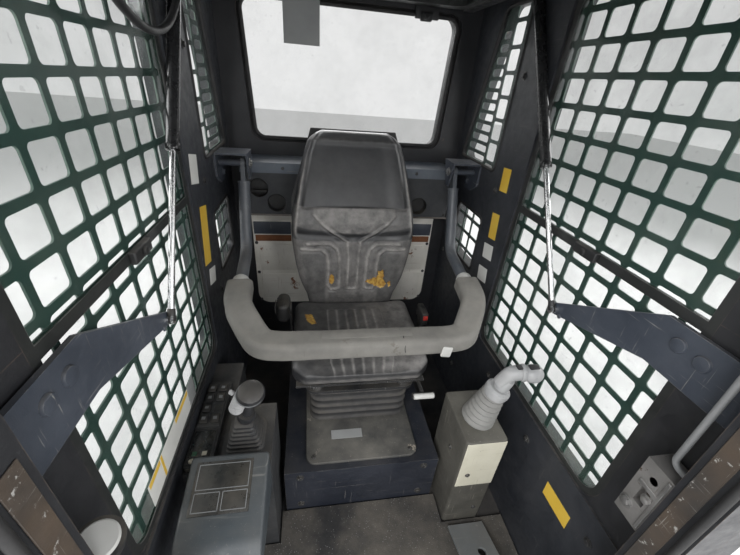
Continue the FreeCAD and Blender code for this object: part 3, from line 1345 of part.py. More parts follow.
doc.recompute()
faults = [item.Name for item in doc.Objects if {"Invalid", "Error"} & set(item.State)]
for item in PARTS:
    if item.Shape.isNull() or not item.Shape.isValid():
        faults.append(item.Label)
if faults:
    raise RuntimeError("not built: " + ", ".join(faults))

os.makedirs("parts", exist_ok=True)
for item in PARTS:
    item.Shape.exportStep(os.path.join("parts", item.Label + ".step"))
print("%d sub-parts" % len(PARTS))
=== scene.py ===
"""A skid steer loader's operator cab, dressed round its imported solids."""
import logging
import math
from dataclasses import dataclass
from enum import Enum
from typing import Optional, Sequence

import bmesh
import bpy
from mathutils import Matrix, Vector, noise

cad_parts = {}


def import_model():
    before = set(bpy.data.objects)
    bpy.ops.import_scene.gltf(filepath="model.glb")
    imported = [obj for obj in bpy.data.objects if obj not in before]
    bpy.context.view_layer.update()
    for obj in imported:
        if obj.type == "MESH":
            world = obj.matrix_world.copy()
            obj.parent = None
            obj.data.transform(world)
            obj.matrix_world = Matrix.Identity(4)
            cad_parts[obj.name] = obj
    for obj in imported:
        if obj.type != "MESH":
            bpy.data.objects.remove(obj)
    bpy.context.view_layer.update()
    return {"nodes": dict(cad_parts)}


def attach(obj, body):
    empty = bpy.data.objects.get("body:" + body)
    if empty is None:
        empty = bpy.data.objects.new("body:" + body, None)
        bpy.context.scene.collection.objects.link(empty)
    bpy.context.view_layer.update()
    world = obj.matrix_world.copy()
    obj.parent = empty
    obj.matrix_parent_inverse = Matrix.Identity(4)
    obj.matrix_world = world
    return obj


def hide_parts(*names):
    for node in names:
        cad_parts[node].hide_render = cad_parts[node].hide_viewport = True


LOG = logging.getLogger("cab")
Colour = tuple[float, float, float]
Point = tuple[float, float, float]
Flat = tuple[float, float]


class Axis(Enum):
    """A direction that an outline is pushed along."""

    X = 0
    Y = 1
    Z = 2

    def place(self, across: float, up: float, along: float) -> Vector:
        """The point of an outline drawn across this axis."""
        values = [across, up]
        values.insert(self.value, along)
        return Vector(values)

    def step(self, amount: float) -> Vector:
        """A move along this axis."""
        move = Vector((0.0, 0.0, 0.0))
        move[self.value] = amount
        return move


class Grain(Enum):
    """The fine relief of a finish."""

    ORANGE_PEEL = "orange peel"
    MOULDED = "moulded"
    LEATHER = "leather"
    BRUSHED = "brushed"
    SPECKLED = "speckled"
    FOAM = "foam"


class Graph:
    """Short calls for the nodes of one material."""

    def __init__(self, name: str) -> None:
        """Starts an empty node tree that reads the piece's own coordinates."""
        self.material = bpy.data.materials.new(name)
        self.material.use_nodes = True
        self.nodes = self.material.node_tree.nodes
        self.links = self.material.node_tree.links
        self.nodes.clear()
        source = self.nodes.new("ShaderNodeTexCoord")
        self.coords = source.outputs["Object"]
        self.normal = source.outputs["Normal"]

    def add(self, kind: str, inputs: dict, output: int | str = 0, **settings) -> bpy.types.NodeSocket:
        """Adds a node.

        Args:
            kind: The node's type.
            inputs: Sockets by name or number, with a value or another socket.
            output: The output that is wanted.
            settings: Properties of the node.

        Returns:
            The output socket.
        """
        node = self.nodes.new(kind)
        for key, value in settings.items():
            setattr(node, key, value)
        for key, value in inputs.items():
            if isinstance(value, bpy.types.NodeSocket):
                self.links.new(value, node.inputs[key])
            else:
                node.inputs[key].default_value = value
        return node.outputs[output] if node.outputs else None

    def noise(self, scale: float, detail: float = 3.0, rough: float = 0.5,
              stretch: Optional[Point] = None) -> bpy.types.NodeSocket:
        """A cloudy pattern, stretched along the axes where stretch is given."""
        vector = self.coords
        if stretch:
            vector = self.add("ShaderNodeMapping", {"Vector": vector, "Scale": stretch})
        return self.add("ShaderNodeTexNoise",
                        {"Vector": vector, "Scale": scale, "Detail": detail, "Roughness": rough})

    def mottle(self, scale: float) -> bpy.types.NodeSocket:
        """A soft cloudy share that takes a colour towards its shade."""
        return self.ramp(self.noise(scale, 5.0, 0.6), 0.35, 0.65)

    def cells(self, scale: float, feature: str = "F1") -> bpy.types.NodeSocket:
        """A cell pattern."""
        return self.add("ShaderNodeTexVoronoi", {"Vector": self.coords, "Scale": scale}, "Distance",
                        feature=feature)

    def ramp(self, value: bpy.types.NodeSocket, low: float, high: float, start: float = 0.0,
             end: float = 1.0) -> bpy.types.NodeSocket:
        """A value spread from one range to another, held at its ends."""
        return self.add("ShaderNodeMapRange", {"Value": value, "From Min": low, "From Max": high,
                                               "To Min": start, "To Max": end}, "Result")

    def maths(self, operation: str, one: bpy.types.NodeSocket | float,
              two: bpy.types.NodeSocket | float) -> bpy.types.NodeSocket:
        """A calculation with two values, held between 0 and 1."""
        return self.add("ShaderNodeMath", {0: one, 1: two}, operation=operation, use_clamp=True)

    def blend(self, share: bpy.types.NodeSocket | float, one: bpy.types.NodeSocket | Colour,
              two: bpy.types.NodeSocket | Colour) -> bpy.types.NodeSocket:
        """A mix of two colours."""
        pair = [(*c, 1.0) if isinstance(c, tuple) else c for c in (one, two)]
        return self.add("ShaderNodeMix", {0: share, 6: pair[0], 7: pair[1]}, 2, data_type="RGBA")

    def bump(self, height: bpy.types.NodeSocket, strength: float, depth: float,
             under: Optional[bpy.types.NodeSocket] = None) -> bpy.types.NodeSocket:
        """A relief, laid over another one where under is given."""
        inputs = {"Height": height, "Strength": strength, "Distance": depth}
        if under:
            inputs["Normal"] = under
        return self.add("ShaderNodeBump", inputs, "Normal")

    def close(self, **inputs) -> bpy.types.Material:
        """Ends the tree with a shader that takes these inputs, whose names have _ for a space."""
        values = {key.replace("_", " "): value for key, value in inputs.items()}
        shader = self.add("ShaderNodeBsdfPrincipled", values)
        self.add("ShaderNodeOutputMaterial", {"Surface": shader})
        return self.material


class Surface:
    """A material that is made the first time that it is asked for."""

    name: str

    def material(self) -> bpy.types.Material:
        """The surface's material."""
        label = self.name + "_finish"
        if label in bpy.data.materials:
            return bpy.data.materials[label]
        return self.draw(Graph(label))

    def draw(self, graph: Graph) -> bpy.types.Material:
        """Fills the material's tree, which each kind of surface does in its own way."""
        raise NotImplementedError


@dataclass(frozen=True)
class Finish(Surface):
    """A painted, moulded or metal surface with its mottling, grain, wear and dust."""

    name: str
    colour: Colour
    shade: Colour
    rough: float = 0.5
    metal: float = 0.0
    coat: float = 0.0
    grain: Grain = Grain.ORANGE_PEEL
    grain_scale: float = 600.0
    grain_depth: float = 0.0002
    mottle: float = 7.0
    worn: Optional[Colour] = None
    worn_share: float = 0.08
    worn_scale: float = 24.0
    edge: float = 0.0
    scratches: float = 0.0
    dust: Optional[Colour] = None
    dust_share: float = 0.5

    def relief(self, graph: Graph) -> bpy.types.NodeSocket:
        """The height pattern of the grain."""
        scale = self.grain_scale
        if self.grain is Grain.MOULDED:
            return graph.cells(scale, "SMOOTH_F1")
        if self.grain is Grain.LEATHER:
            fine = graph.ramp(graph.cells(scale, "DISTANCE_TO_EDGE"), 0.0, 0.25)
            return graph.maths("MULTIPLY", fine, graph.noise(scale * 0.2))
        if self.grain is Grain.BRUSHED:
            return graph.noise(scale * 0.1, 4.0, 0.7, (1.0, 1.0, 22.0))
        if self.grain is Grain.SPECKLED:
            return graph.ramp(graph.cells(scale), 0.1, 0.5)
        if self.grain is Grain.FOAM:
            pits = graph.ramp(graph.cells(scale), 0.0, 0.4)
            return graph.maths("MULTIPLY", pits, graph.noise(scale * 0.08, 5.0, 0.7))
        return graph.noise(scale, 2.0)

    def draw(self, graph: Graph) -> bpy.types.Material:
        """Fills the finish's tree."""
        tone = graph.mottle(self.mottle)
        colour = graph.blend(tone, self.colour, self.shade)
        rough = graph.ramp(graph.noise(self.mottle * 5.0, 4.0, 0.65), 0.3, 0.7,
                           max(self.rough - 0.1, 0.04), min(self.rough + 0.12, 1.0))
        if self.grain is Grain.SPECKLED:
            specks = graph.ramp(graph.cells(self.grain_scale * 0.6), 0.12, 0.2, 1.0, 0.0)
            speck_share = graph.maths("MULTIPLY", specks, graph.ramp(graph.noise(30.0), 0.4, 0.6))
            colour = graph.blend(speck_share, colour, tuple(min(c * 7.0 + 0.1, 1.0) for c in self.colour))
        if self.worn:
            colour, rough = self.wear(graph, colour, rough)
        if self.dust:
            faces_up = graph.ramp(graph.add("ShaderNodeSeparateXYZ", {0: graph.normal}, "Z"), 0.2, 0.9,
                                  0.12, 1.0)
            cloud = graph.ramp(graph.noise(6.0, 7.0, 0.65), 0.38, 0.66, 0.0, self.dust_share)
            share = graph.maths("MULTIPLY", faces_up, cloud)
            colour = graph.blend(share, colour, self.dust)
            rough = graph.maths("ADD", rough, graph.maths("MULTIPLY", share, 0.5))
        wide = graph.bump(graph.noise(self.mottle * 3.0, 3.0), 0.25, 0.001)
        fine = graph.bump(self.relief(graph), 0.6, self.grain_depth, wide)
        return graph.close(Base_Color=colour, Roughness=rough, Metallic=self.metal,
                           Coat_Weight=self.coat, Coat_Roughness=0.2, Normal=fine)

    def wear(self, graph: Graph, colour: bpy.types.NodeSocket,
             rough: bpy.types.NodeSocket) -> tuple[bpy.types.NodeSocket, bpy.types.NodeSocket]:
        """Chips, scratches and rubbed edges.

        Args:
            graph: The tree being made.
            colour: The colour so far.
            rough: The roughness so far.

        Returns:
            The colour and the roughness with the wear on them.
        """
        cut = 0.74 - self.worn_share
        mask = graph.ramp(graph.noise(self.worn_scale, 9.0, 0.72), cut, cut + 0.03)
        if self.scratches:
            for stretch in ((1.0, 2.0, 60.0), (40.0, 50.0, 2.0)):
                line = graph.ramp(graph.noise(5.0, 3.0, 0.6, stretch), 0.66, 0.72, 0.0, self.scratches)
                mask = graph.maths("MAXIMUM", mask, line)
        if self.edge:
            rounded = graph.add("ShaderNodeBevel", {"Radius": self.edge}, samples=4)
            plain = graph.add("ShaderNodeNewGeometry", {}, "Normal")
            turn = graph.add("ShaderNodeVectorMath", {0: rounded, 1: plain}, "Value",
                             operation="DOT_PRODUCT")
            rubbed = graph.ramp(turn, 0.96, 0.8)
            patchy = graph.ramp(graph.noise(self.worn_scale * 0.8, 6.0, 0.7), 0.42, 0.58)
            mask = graph.maths("MAXIMUM", mask, graph.maths("MULTIPLY", rubbed, patchy))
        colour = graph.blend(mask, colour, self.worn)
        rough = graph.maths("ADD", rough, graph.maths("MULTIPLY", mask, 0.2))
        return colour, rough


@dataclass(frozen=True)
class Glazing(Surface):
    """A pane that shows what is behind it, with a film of grime."""

    name: str
    colour: Colour
    clear: float
    grime: float

    def draw(self, graph: Graph) -> bpy.types.Material:
        """Fills the pane's tree."""
        film = graph.ramp(graph.noise(5.0, 8.0, 0.7), 0.42, 0.75, 0.0, self.grime)
        spots = graph.ramp(graph.noise(90.0, 3.0), 0.66, 0.72, 0.0, self.grime)
        share = graph.maths("MAXIMUM", film, spots)
        colour = graph.blend(share, self.colour, (0.5, 0.47, 0.41))
        solid = graph.maths("ADD", graph.maths("MULTIPLY", share, 0.8), 1.0 - self.clear)
        rough = graph.ramp(share, 0.0, 1.0, 0.05, 0.7)
        ripple = graph.bump(graph.noise(9.0), 0.05, 0.001)
        return graph.close(Base_Color=colour, Roughness=rough, Alpha=solid, Normal=ripple,
                           Specular_IOR_Level=0.5)


@dataclass(frozen=True)
class GuardPaint(Surface):
    """Dark green paint whose punched edges are cut bright."""

    name: str = "guard_paint"
    colour: Colour = (0.003, 0.014, 0.011)
    cut_edge: Colour = (0.13, 0.18, 0.15)

    def draw(self, graph: Graph) -> bpy.types.Material:
        """Fills the guard's tree."""
        tone = graph.mottle(9.0)
        paint = graph.blend(tone, self.colour, tuple(c * 1.8 + 0.002 for c in self.colour))
        across = graph.add("ShaderNodeSeparateXYZ", {0: graph.normal}, "X")
        level = graph.add("ShaderNodeMath", {0: across}, operation="ABSOLUTE")
        edge = graph.maths("MULTIPLY", graph.ramp(level, 0.75, 0.35),
                           graph.ramp(graph.noise(14.0, 4.0), 0.35, 0.6, 0.25, 0.9))
        colour = graph.blend(edge, paint, self.cut_edge)
        dust = graph.ramp(graph.noise(7.0, 7.0, 0.7), 0.52, 0.74, 0.0, 0.16)
        colour = graph.blend(dust, colour, (0.2, 0.18, 0.15))
        rough = graph.ramp(graph.noise(40.0, 3.0), 0.3, 0.7, 0.42, 0.65)
        return graph.close(Base_Color=colour, Roughness=rough,
                           Normal=graph.bump(graph.noise(500.0, 2.0), 0.4, 0.0002))


@dataclass(frozen=True)
class SeatVinyl(Surface):
    """Black vinyl, turned grey where the point attribute worn says, which holds wear together with painted
    sunlight, painted highlights and a painted shadow band, and torn to the foam.
    """

    name: str = "seat_vinyl"
    colour: Colour = (0.009, 0.010, 0.012)
    # rubbed: the grey of worn vinyl, also used for the painted sunlight and highlights that the worn
    # attribute carries.
    rubbed: Colour = (0.36, 0.345, 0.33)
    foam: Colour = (0.62, 0.40, 0.09)

    def draw(self, graph: Graph) -> bpy.types.Material:
        """Fills the vinyl's tree."""
        worn = graph.add("ShaderNodeAttribute", {}, "Fac", attribute_name="worn")
        torn = graph.add("ShaderNodeAttribute", {}, "Fac", attribute_name="torn")
        tone = graph.mottle(8.0)
        vinyl = graph.blend(tone, self.colour, tuple(c * 1.8 for c in self.colour))
        patchy = graph.ramp(graph.noise(26.0, 8.0, 0.7), 0.32, 0.62, 0.35, 1.0)
        # share follows the worn attribute, so it spreads painted sunlight and highlights as well as wear.
        share = graph.maths("MULTIPLY", worn, patchy)
        colour = graph.blend(share, vinyl, self.rubbed)
        colour = graph.blend(graph.ramp(torn, 0.35, 0.6), colour,
                             graph.blend(graph.ramp(graph.noise(90.0, 4.0), 0.35, 0.65),
                                         self.foam, (0.35, 0.17, 0.03)))
        rough = graph.ramp(share, 0.0, 0.7, 0.36, 0.75)
        creases = graph.bump(graph.noise(30.0, 6.0, 0.6), 0.3, 0.0012)
        hide = graph.bump(graph.ramp(graph.cells(620.0, "DISTANCE_TO_EDGE"), 0.0, 0.25), 0.35, 0.00025,
                          creases)
        return graph.close(Base_Color=colour, Roughness=rough, Normal=hide, Coat_Weight=0.15,
                           Coat_Roughness=0.25)


DUST = (0.23, 0.205, 0.17)
BARE = (0.34, 0.33, 0.31)
FRAME_PAINT = Finish("frame_paint", (0.014, 0.015, 0.018), (0.026, 0.027, 0.031), 0.45, edge=0.002,
                     worn=(0.12, 0.09, 0.07), worn_share=0.07, dust=DUST, dust_share=0.22)
LINER_PAINT = Finish("liner_paint", (0.017, 0.020, 0.026), (0.032, 0.035, 0.042), 0.48,
                     grain=Grain.MOULDED, worn=(0.13, 0.125, 0.12), worn_share=0.05, scratches=0.5,
                     dust=DUST, dust_share=0.3)
BRACKET_PAINT = Finish("bracket_paint", (0.034, 0.042, 0.058), (0.06, 0.07, 0.09), 0.42, edge=0.0015,
                       worn=BARE, worn_share=0.05, scratches=0.6, dust=DUST, dust_share=0.25)
RISER_PAINT = Finish("riser_paint", (0.013, 0.016, 0.024), (0.025, 0.029, 0.040), 0.4, edge=0.0015,
                     worn=(0.22, 0.21, 0.2), worn_share=0.07, scratches=0.5, dust=DUST, dust_share=0.15)
COVER_PAINT = Finish("cover_paint", (0.66, 0.64, 0.58), (0.78, 0.76, 0.71), 0.6, worn=(0.19, 0.08, 0.035),
                     worn_share=0.1, worn_scale=11.0, scratches=0.4, dust=(0.42, 0.38, 0.32))
MAT_RUBBER = Finish("mat_rubber", (0.022, 0.022, 0.023), (0.045, 0.043, 0.041), 0.85,
                    grain=Grain.SPECKLED, grain_scale=260.0, grain_depth=0.0008, dust=DUST, dust_share=0.4)
SEAL_RUBBER = Finish("seal_rubber", (0.011, 0.011, 0.012), (0.02, 0.02, 0.021), 0.6, dust=DUST,
                     dust_share=0.25)
BELLOWS_RUBBER = Finish("bellows_rubber", (0.015, 0.016, 0.018), (0.035, 0.035, 0.036), 0.6,
                        grain=Grain.MOULDED, worn=(0.17, 0.155, 0.13), worn_share=0.06, edge=0.003,
                        dust=DUST, dust_share=0.35)
BOOT_RUBBER = Finish("boot_rubber", (0.016, 0.017, 0.019), (0.035, 0.036, 0.038), 0.55,
                     grain=Grain.MOULDED, dust=DUST, dust_share=0.5)
GREY_RUBBER = Finish("grey_rubber", (0.17, 0.17, 0.165), (0.25, 0.25, 0.24), 0.7, grain=Grain.MOULDED,
                     dust=(0.3, 0.28, 0.25), dust_share=0.4)
HOSE_RUBBER = Finish("hose_rubber", (0.012, 0.012, 0.013), (0.024, 0.024, 0.025), 0.5)
HEADLINER = Finish("headliner_vinyl", (0.03, 0.031, 0.033), (0.045, 0.046, 0.048), 0.85,
                   grain=Grain.LEATHER, grain_scale=420.0)
DUCT_PLASTIC = Finish("duct_plastic", (0.024, 0.027, 0.032), (0.042, 0.045, 0.05), 0.6,
                      grain=Grain.MOULDED, dust=DUST, dust_share=0.3)
CAP_PLASTIC = Finish("cap_plastic", (0.085, 0.105, 0.135), (0.13, 0.15, 0.175), 0.45, grain=Grain.MOULDED,
                     worn=(0.2, 0.2, 0.19), scratches=0.5, dust=DUST, dust_share=0.25)
BLACK_STEEL = Finish("black_steel", (0.014, 0.015, 0.017), (0.03, 0.031, 0.033), 0.42, edge=0.0012,
                     worn=BARE, worn_share=0.07, scratches=0.5, dust=DUST, dust_share=0.3)
BARE_STEEL = Finish("bare_steel", (0.5, 0.51, 0.52), (0.62, 0.62, 0.62), 0.24, 1.0, grain=Grain.BRUSHED,
                    worn=(0.2, 0.15, 0.11), worn_share=0.06)
WORN_STEEL = Finish("worn_steel", (0.3, 0.3, 0.3), (0.42, 0.41, 0.4), 0.42, 0.85, grain=Grain.BRUSHED,
                    worn=(0.1, 0.07, 0.05), worn_share=0.12, scratches=0.5)
SHELL_PLASTIC = Finish("shell_plastic", (0.018, 0.019, 0.021), (0.03, 0.031, 0.033), 0.55,
                       grain=Grain.MOULDED, dust=DUST, dust_share=0.25)
BELT_PLASTIC = Finish("belt_plastic", (0.011, 0.012, 0.013), (0.024, 0.024, 0.025), 0.45,
                      grain=Grain.MOULDED, dust=DUST, dust_share=0.45)
BELT_WEBBING = Finish("belt_webbing", (0.02, 0.02, 0.021), (0.045, 0.043, 0.04), 0.8, grain=Grain.BRUSHED,
                      grain_scale=4200.0, dust=DUST, dust_share=0.5)
BAR_PAINT = Finish("bar_paint", (0.075, 0.087, 0.105), (0.12, 0.13, 0.145), 0.4, edge=0.0,
                   worn=(0.3, 0.3, 0.29), worn_share=0.06, scratches=0.7, dust=DUST, dust_share=0.3)
BAR_FOAM = Finish("bar_foam", (0.15, 0.146, 0.136), (0.225, 0.218, 0.2), 0.85, grain=Grain.FOAM,
                  grain_scale=420.0, grain_depth=0.0008, worn=(0.15, 0.14, 0.125), worn_share=0.12,
                  worn_scale=18.0, scratches=0.35, dust=(0.36, 0.34, 0.3), dust_share=0.3)
JAMB_STEEL = Finish("jamb_steel", (0.045, 0.04, 0.036), (0.09, 0.066, 0.048), 0.5, worn=(0.36, 0.35, 0.33),
                    worn_share=0.14, worn_scale=55.0, scratches=0.6)
LIP_PAINT = Finish("lip_paint", (0.10, 0.085, 0.075), (0.2, 0.185, 0.17), 0.55, worn=(0.12, 0.05, 0.025),
                   worn_share=0.12)
TRAY_PAINT = Finish("tray_paint", (0.045, 0.046, 0.045), (0.085, 0.083, 0.078), 0.6, edge=0.003,
                    worn=(0.36, 0.32, 0.27), worn_share=0.12, worn_scale=9.0, scratches=0.5,
                    dust=(0.3, 0.28, 0.24), dust_share=0.4)
MARK_GREY = Finish("mark_grey", (0.16, 0.165, 0.17), (0.21, 0.215, 0.22), 0.5)
HANDLE_PAINT = Finish("handle_paint", (0.2, 0.205, 0.21), (0.27, 0.275, 0.28), 0.45, worn=(0.1, 0.09, 0.08),
                      worn_share=0.1)
CREAM_PAINT = Finish("cream_paint", (0.52, 0.50, 0.40), (0.62, 0.60, 0.50), 0.55, worn=(0.16, 0.12, 0.08),
                     worn_share=0.07, worn_scale=20.0, scratches=0.3, dust=(0.4, 0.36, 0.29), dust_share=0.4)
SLEEVE_PLASTIC = Finish("sleeve_plastic", (0.5, 0.5, 0.48), (0.62, 0.62, 0.6), 0.6, grain=Grain.MOULDED)
STRUT_PAINT = Finish("strut_paint", (0.008, 0.008, 0.009), (0.018, 0.018, 0.019), 0.25, coat=0.3,
                     worn=BARE, worn_share=0.03)
WINDOW_BLACK = Finish("window_black", (0.015, 0.017, 0.017), (0.03, 0.032, 0.032), 0.4, edge=0.0015,
                      worn=(0.2, 0.2, 0.19), worn_share=0.03, dust=DUST, dust_share=0.2)
TAN_PLASTIC = Finish("tan_plastic", (0.055, 0.053, 0.046), (0.10, 0.096, 0.083), 0.6, grain=Grain.MOULDED,
                     edge=0.004, worn=(0.42, 0.40, 0.34), worn_share=0.07, worn_scale=14.0, scratches=0.4,
                     dust=(0.26, 0.24, 0.2), dust_share=0.3)
CONSOLE_PLASTIC = Finish("console_plastic", (0.022, 0.024, 0.027), (0.042, 0.044, 0.047), 0.55,
                         grain=Grain.MOULDED, worn=(0.14, 0.135, 0.125), worn_share=0.05, scratches=0.5,
                         dust=DUST, dust_share=0.3)
POD_PLASTIC = Finish("pod_plastic", (0.038, 0.048, 0.056), (0.062, 0.073, 0.082), 0.42,
                     grain=Grain.MOULDED, worn=(0.2, 0.2, 0.19), worn_share=0.05, scratches=0.5,
                     dust=DUST, dust_share=0.2)
SCREEN = Finish("screen_black", (0.008, 0.010, 0.011), (0.016, 0.018, 0.019), 0.22, coat=0.4,
                dust=DUST, dust_share=0.35)
OUTLINE_SILVER = Finish("outline_silver", (0.17, 0.18, 0.185), (0.25, 0.255, 0.26), 0.45)
PEDAL_STEEL = Finish("pedal_steel", (0.14, 0.155, 0.165), (0.2, 0.215, 0.22), 0.5, edge=0.004,
                     worn=(0.33, 0.33, 0.32), worn_share=0.1, scratches=0.6, dust=DUST, dust_share=0.4)
LATCH_STEEL = Finish("latch_steel", (0.2, 0.195, 0.19), (0.32, 0.31, 0.3), 0.5, 0.6, grain=Grain.BRUSHED,
                     worn=(0.09, 0.055, 0.035), worn_share=0.12, scratches=0.5)
GRIP_PLASTIC = Finish("grip_plastic", (0.3, 0.305, 0.31), (0.42, 0.42, 0.42), 0.42, grain=Grain.MOULDED,
                      worn=(0.12, 0.12, 0.12), worn_share=0.06, scratches=0.4)
GRIP_BLACK = Finish("grip_black", (0.014, 0.015, 0.018), (0.026, 0.027, 0.030), 0.38, grain=Grain.MOULDED,
                    dust=DUST, dust_share=0.25)
LABEL_YELLOW = Finish("label_yellow", (0.66, 0.42, 0.035), (0.74, 0.5, 0.07), 0.45, dust=DUST,
                      worn=(0.3, 0.22, 0.1), worn_share=0.06, dust_share=0.4)
LABEL_WHITE = Finish("label_white", (0.62, 0.62, 0.59), (0.7, 0.7, 0.67), 0.5, dust=DUST,
                     worn=(0.3, 0.3, 0.28), worn_share=0.07, dust_share=0.4)
LABEL_GREY = Finish("label_grey", (0.3, 0.31, 0.31), (0.36, 0.37, 0.37), 0.4, dust=DUST, dust_share=0.2)
BUTTON_CREAM = Finish("button_cream", (0.5, 0.47, 0.38), (0.58, 0.55, 0.46), 0.4, dust=DUST)
BUTTON_GREEN = Finish("button_green", (0.015, 0.09, 0.05), (0.03, 0.12, 0.07), 0.4, dust=DUST)
BUTTON_RED = Finish("button_red", (0.4, 0.02, 0.015), (0.5, 0.04, 0.03), 0.4, dust=DUST, dust_share=0.3)
RUST = Finish("rust", (0.12, 0.045, 0.02), (0.22, 0.09, 0.04), 0.85, grain=Grain.FOAM, grain_scale=500.0)
CLEAR_GLASS = Glazing("clear_glass", (0.5, 0.58, 0.56), 0.92, 0.10)
TINTED_GLASS = Glazing("tinted_glass", (0.05, 0.11, 0.09), 0.82, 0.18)
GUARD_PAINT = GuardPaint()
SEAT_VINYL = SeatVinyl()


class Form:
    """A mesh being made in place, in metres in the cab's own frame."""

    def __init__(self) -> None:
        """Starts with no faces."""
        self.mesh = bmesh.new()

    @classmethod
    def box(cls, low: Point, high: Point, soft: float = 0.0, segments: int = 2) -> "Form":
        """A box between two corners, its edges rounded by soft."""
        form = cls()
        bmesh.ops.create_cube(form.mesh, size=1.0)
        form.scaled(Vector(high) - Vector(low)).moved((Vector(low) + Vector(high)) / 2.0)
        return form.softened(soft, segments)

    @classmethod
    def rod(cls, start: Point, end: Point, radius: float, end_radius: Optional[float] = None,
            sides: int = 24, soft: float = 0.0) -> "Form":
        """A round bar or cone between two points."""
        form = cls()
        line = Vector(end) - Vector(start)
        bmesh.ops.create_cone(form.mesh, cap_ends=True, cap_tris=False, segments=sides, radius1=radius,
                              radius2=radius if end_radius is None else end_radius, depth=line.length)
        if soft:
            rims = [e for e in form.mesh.edges if abs(e.verts[0].co.z - e.verts[1].co.z) < 1e-6]
            form.bevel(rims, soft, 2)
        bmesh.ops.rotate(form.mesh, verts=form.mesh.verts,
                         matrix=Vector((0, 0, 1)).rotation_difference(line).to_matrix())
        return form.moved((Vector(start) + Vector(end)) / 2.0)

    @classmethod
    def ball(cls, centre: Point, size: Point, detail: int = 3) -> "Form":
        """An egg with these half sizes."""
        form = cls()
        bmesh.ops.create_icosphere(form.mesh, subdivisions=detail, radius=1.0)
        return form.scaled(size).moved(centre)

    @classmethod
    def prism(cls, outline: Sequence[Flat], axis: Axis, low: float, high: float, corner: float = 0.0,
              soft: float = 0.0, segments: int = 2) -> "Form":
        """An outline pushed along an axis.

        Args:
            outline: Its corners, drawn across the axis.
            axis: The axis that it is pushed along.
            low: Where it starts.
            high: Where it ends.
            corner: The radius of the outline's own corners.
            soft: The rounding of the rims of its two ends.
            segments: How finely the rims are rounded.

        Returns:
            The closed solid.
        """
        form = cls()
        face = form.mesh.faces.new([form.mesh.verts.new(axis.place(a, b, low)) for a, b in outline])
        made = bmesh.ops.extrude_face_region(form.mesh, geom=[face])
        bmesh.ops.translate(form.mesh, vec=axis.step(high - low),
                            verts=[v for v in made["geom"] if isinstance(v, bmesh.types.BMVert)])
        if corner:
            sides = [e for e in form.mesh.edges
                     if abs(e.verts[0].co[axis.value] - e.verts[1].co[axis.value]) > 1e-6]
            form.bevel(sides, corner, 5)
        if soft:
            rims = [e for e in form.mesh.edges
                    if abs(e.verts[0].co[axis.value] - e.verts[1].co[axis.value]) < 1e-6]
            form.bevel(rims, soft, segments)
        return form

    @classmethod
    def lathe(cls, profile: Sequence[Flat], centre: Point, direction: Point = (0, 0, 1),
              steps: int = 32) -> "Form":
        """A turned shape.

        Args:
            profile: Its (radius, height) points, the first and last at radius 0.
            centre: Where height 0 is.
            direction: The way that height grows.
            steps: How many flats go round it.

        Returns:
            The closed solid.
        """
        form = cls()
        verts = [form.mesh.verts.new((r, 0.0, h)) for r, h in profile]
        edges = [form.mesh.edges.new(pair) for pair in zip(verts, verts[1:])]
        bmesh.ops.spin(form.mesh, geom=verts + edges, cent=(0, 0, 0), axis=(0, 0, 1),
                       angle=math.tau, steps=steps, use_merge=True, use_duplicate=False)
        bmesh.ops.remove_doubles(form.mesh, verts=form.mesh.verts, dist=1e-6)
        bmesh.ops.rotate(form.mesh, verts=form.mesh.verts,
                         matrix=Vector((0, 0, 1)).rotation_difference(Vector(direction)).to_matrix())
        return form.moved(centre)

    @classmethod
    def sweep(cls, route: Sequence[Point], section: Sequence[Flat] | float, upright: bool = False,
              order: int = 3, closed: bool = False) -> "Form":
        """A tube or a bar with a section of its own along a smooth route.

        Args:
            route: The control points.
            section: The tube's radius, or the bar's outline.
            upright: Whether the section stays level instead of rolling as little as it can.
            order: 3 for a smooth route and 2 for straight runs.
            closed: Whether the route is a ring.

        Returns:
            The closed solid.
        """
        curve = bpy.data.curves.new("route", "CURVE")
        curve.dimensions = "3D"
        curve.resolution_u = 10
        curve.use_fill_caps = True
        curve.twist_mode = "Z_UP" if upright else "MINIMUM"
        spline = curve.splines.new("NURBS")
        spline.points.add(len(route) - 1)
        for point, place in zip(spline.points, route):
            point.co = (*place, 1.0)
        spline.order_u = order
        spline.use_endpoint_u = not closed
        spline.use_cyclic_u = closed
        outline = None
        if isinstance(section, float):
            curve.bevel_depth = section
            curve.bevel_resolution = 5
        else:
            shape = bpy.data.curves.new("section", "CURVE")
            shape.dimensions = "2D"
            line = shape.splines.new("POLY")
            line.points.add(len(section) - 1)
            for point, place in zip(line.points, section):
                point.co = (*place, 0.0, 1.0)
            line.use_cyclic_u = True
            outline = bpy.data.objects.new("section", shape)
            curve.bevel_mode = "OBJECT"
            curve.bevel_object = outline
        holder = bpy.data.objects.new("route", curve)
        bpy.context.scene.collection.objects.link(holder)
        bpy.context.view_layer.update()
        form = cls()
        form.mesh.from_mesh(bpy.data.meshes.new_from_object(
            holder.evaluated_get(bpy.context.evaluated_depsgraph_get())))
        bpy.data.objects.remove(holder)
        if outline:
            bpy.data.objects.remove(outline)
        bmesh.ops.remove_doubles(form.mesh, verts=form.mesh.verts, dist=1e-6)
        bmesh.ops.holes_fill(form.mesh, edges=[e for e in form.mesh.edges if e.is_boundary])
        return form

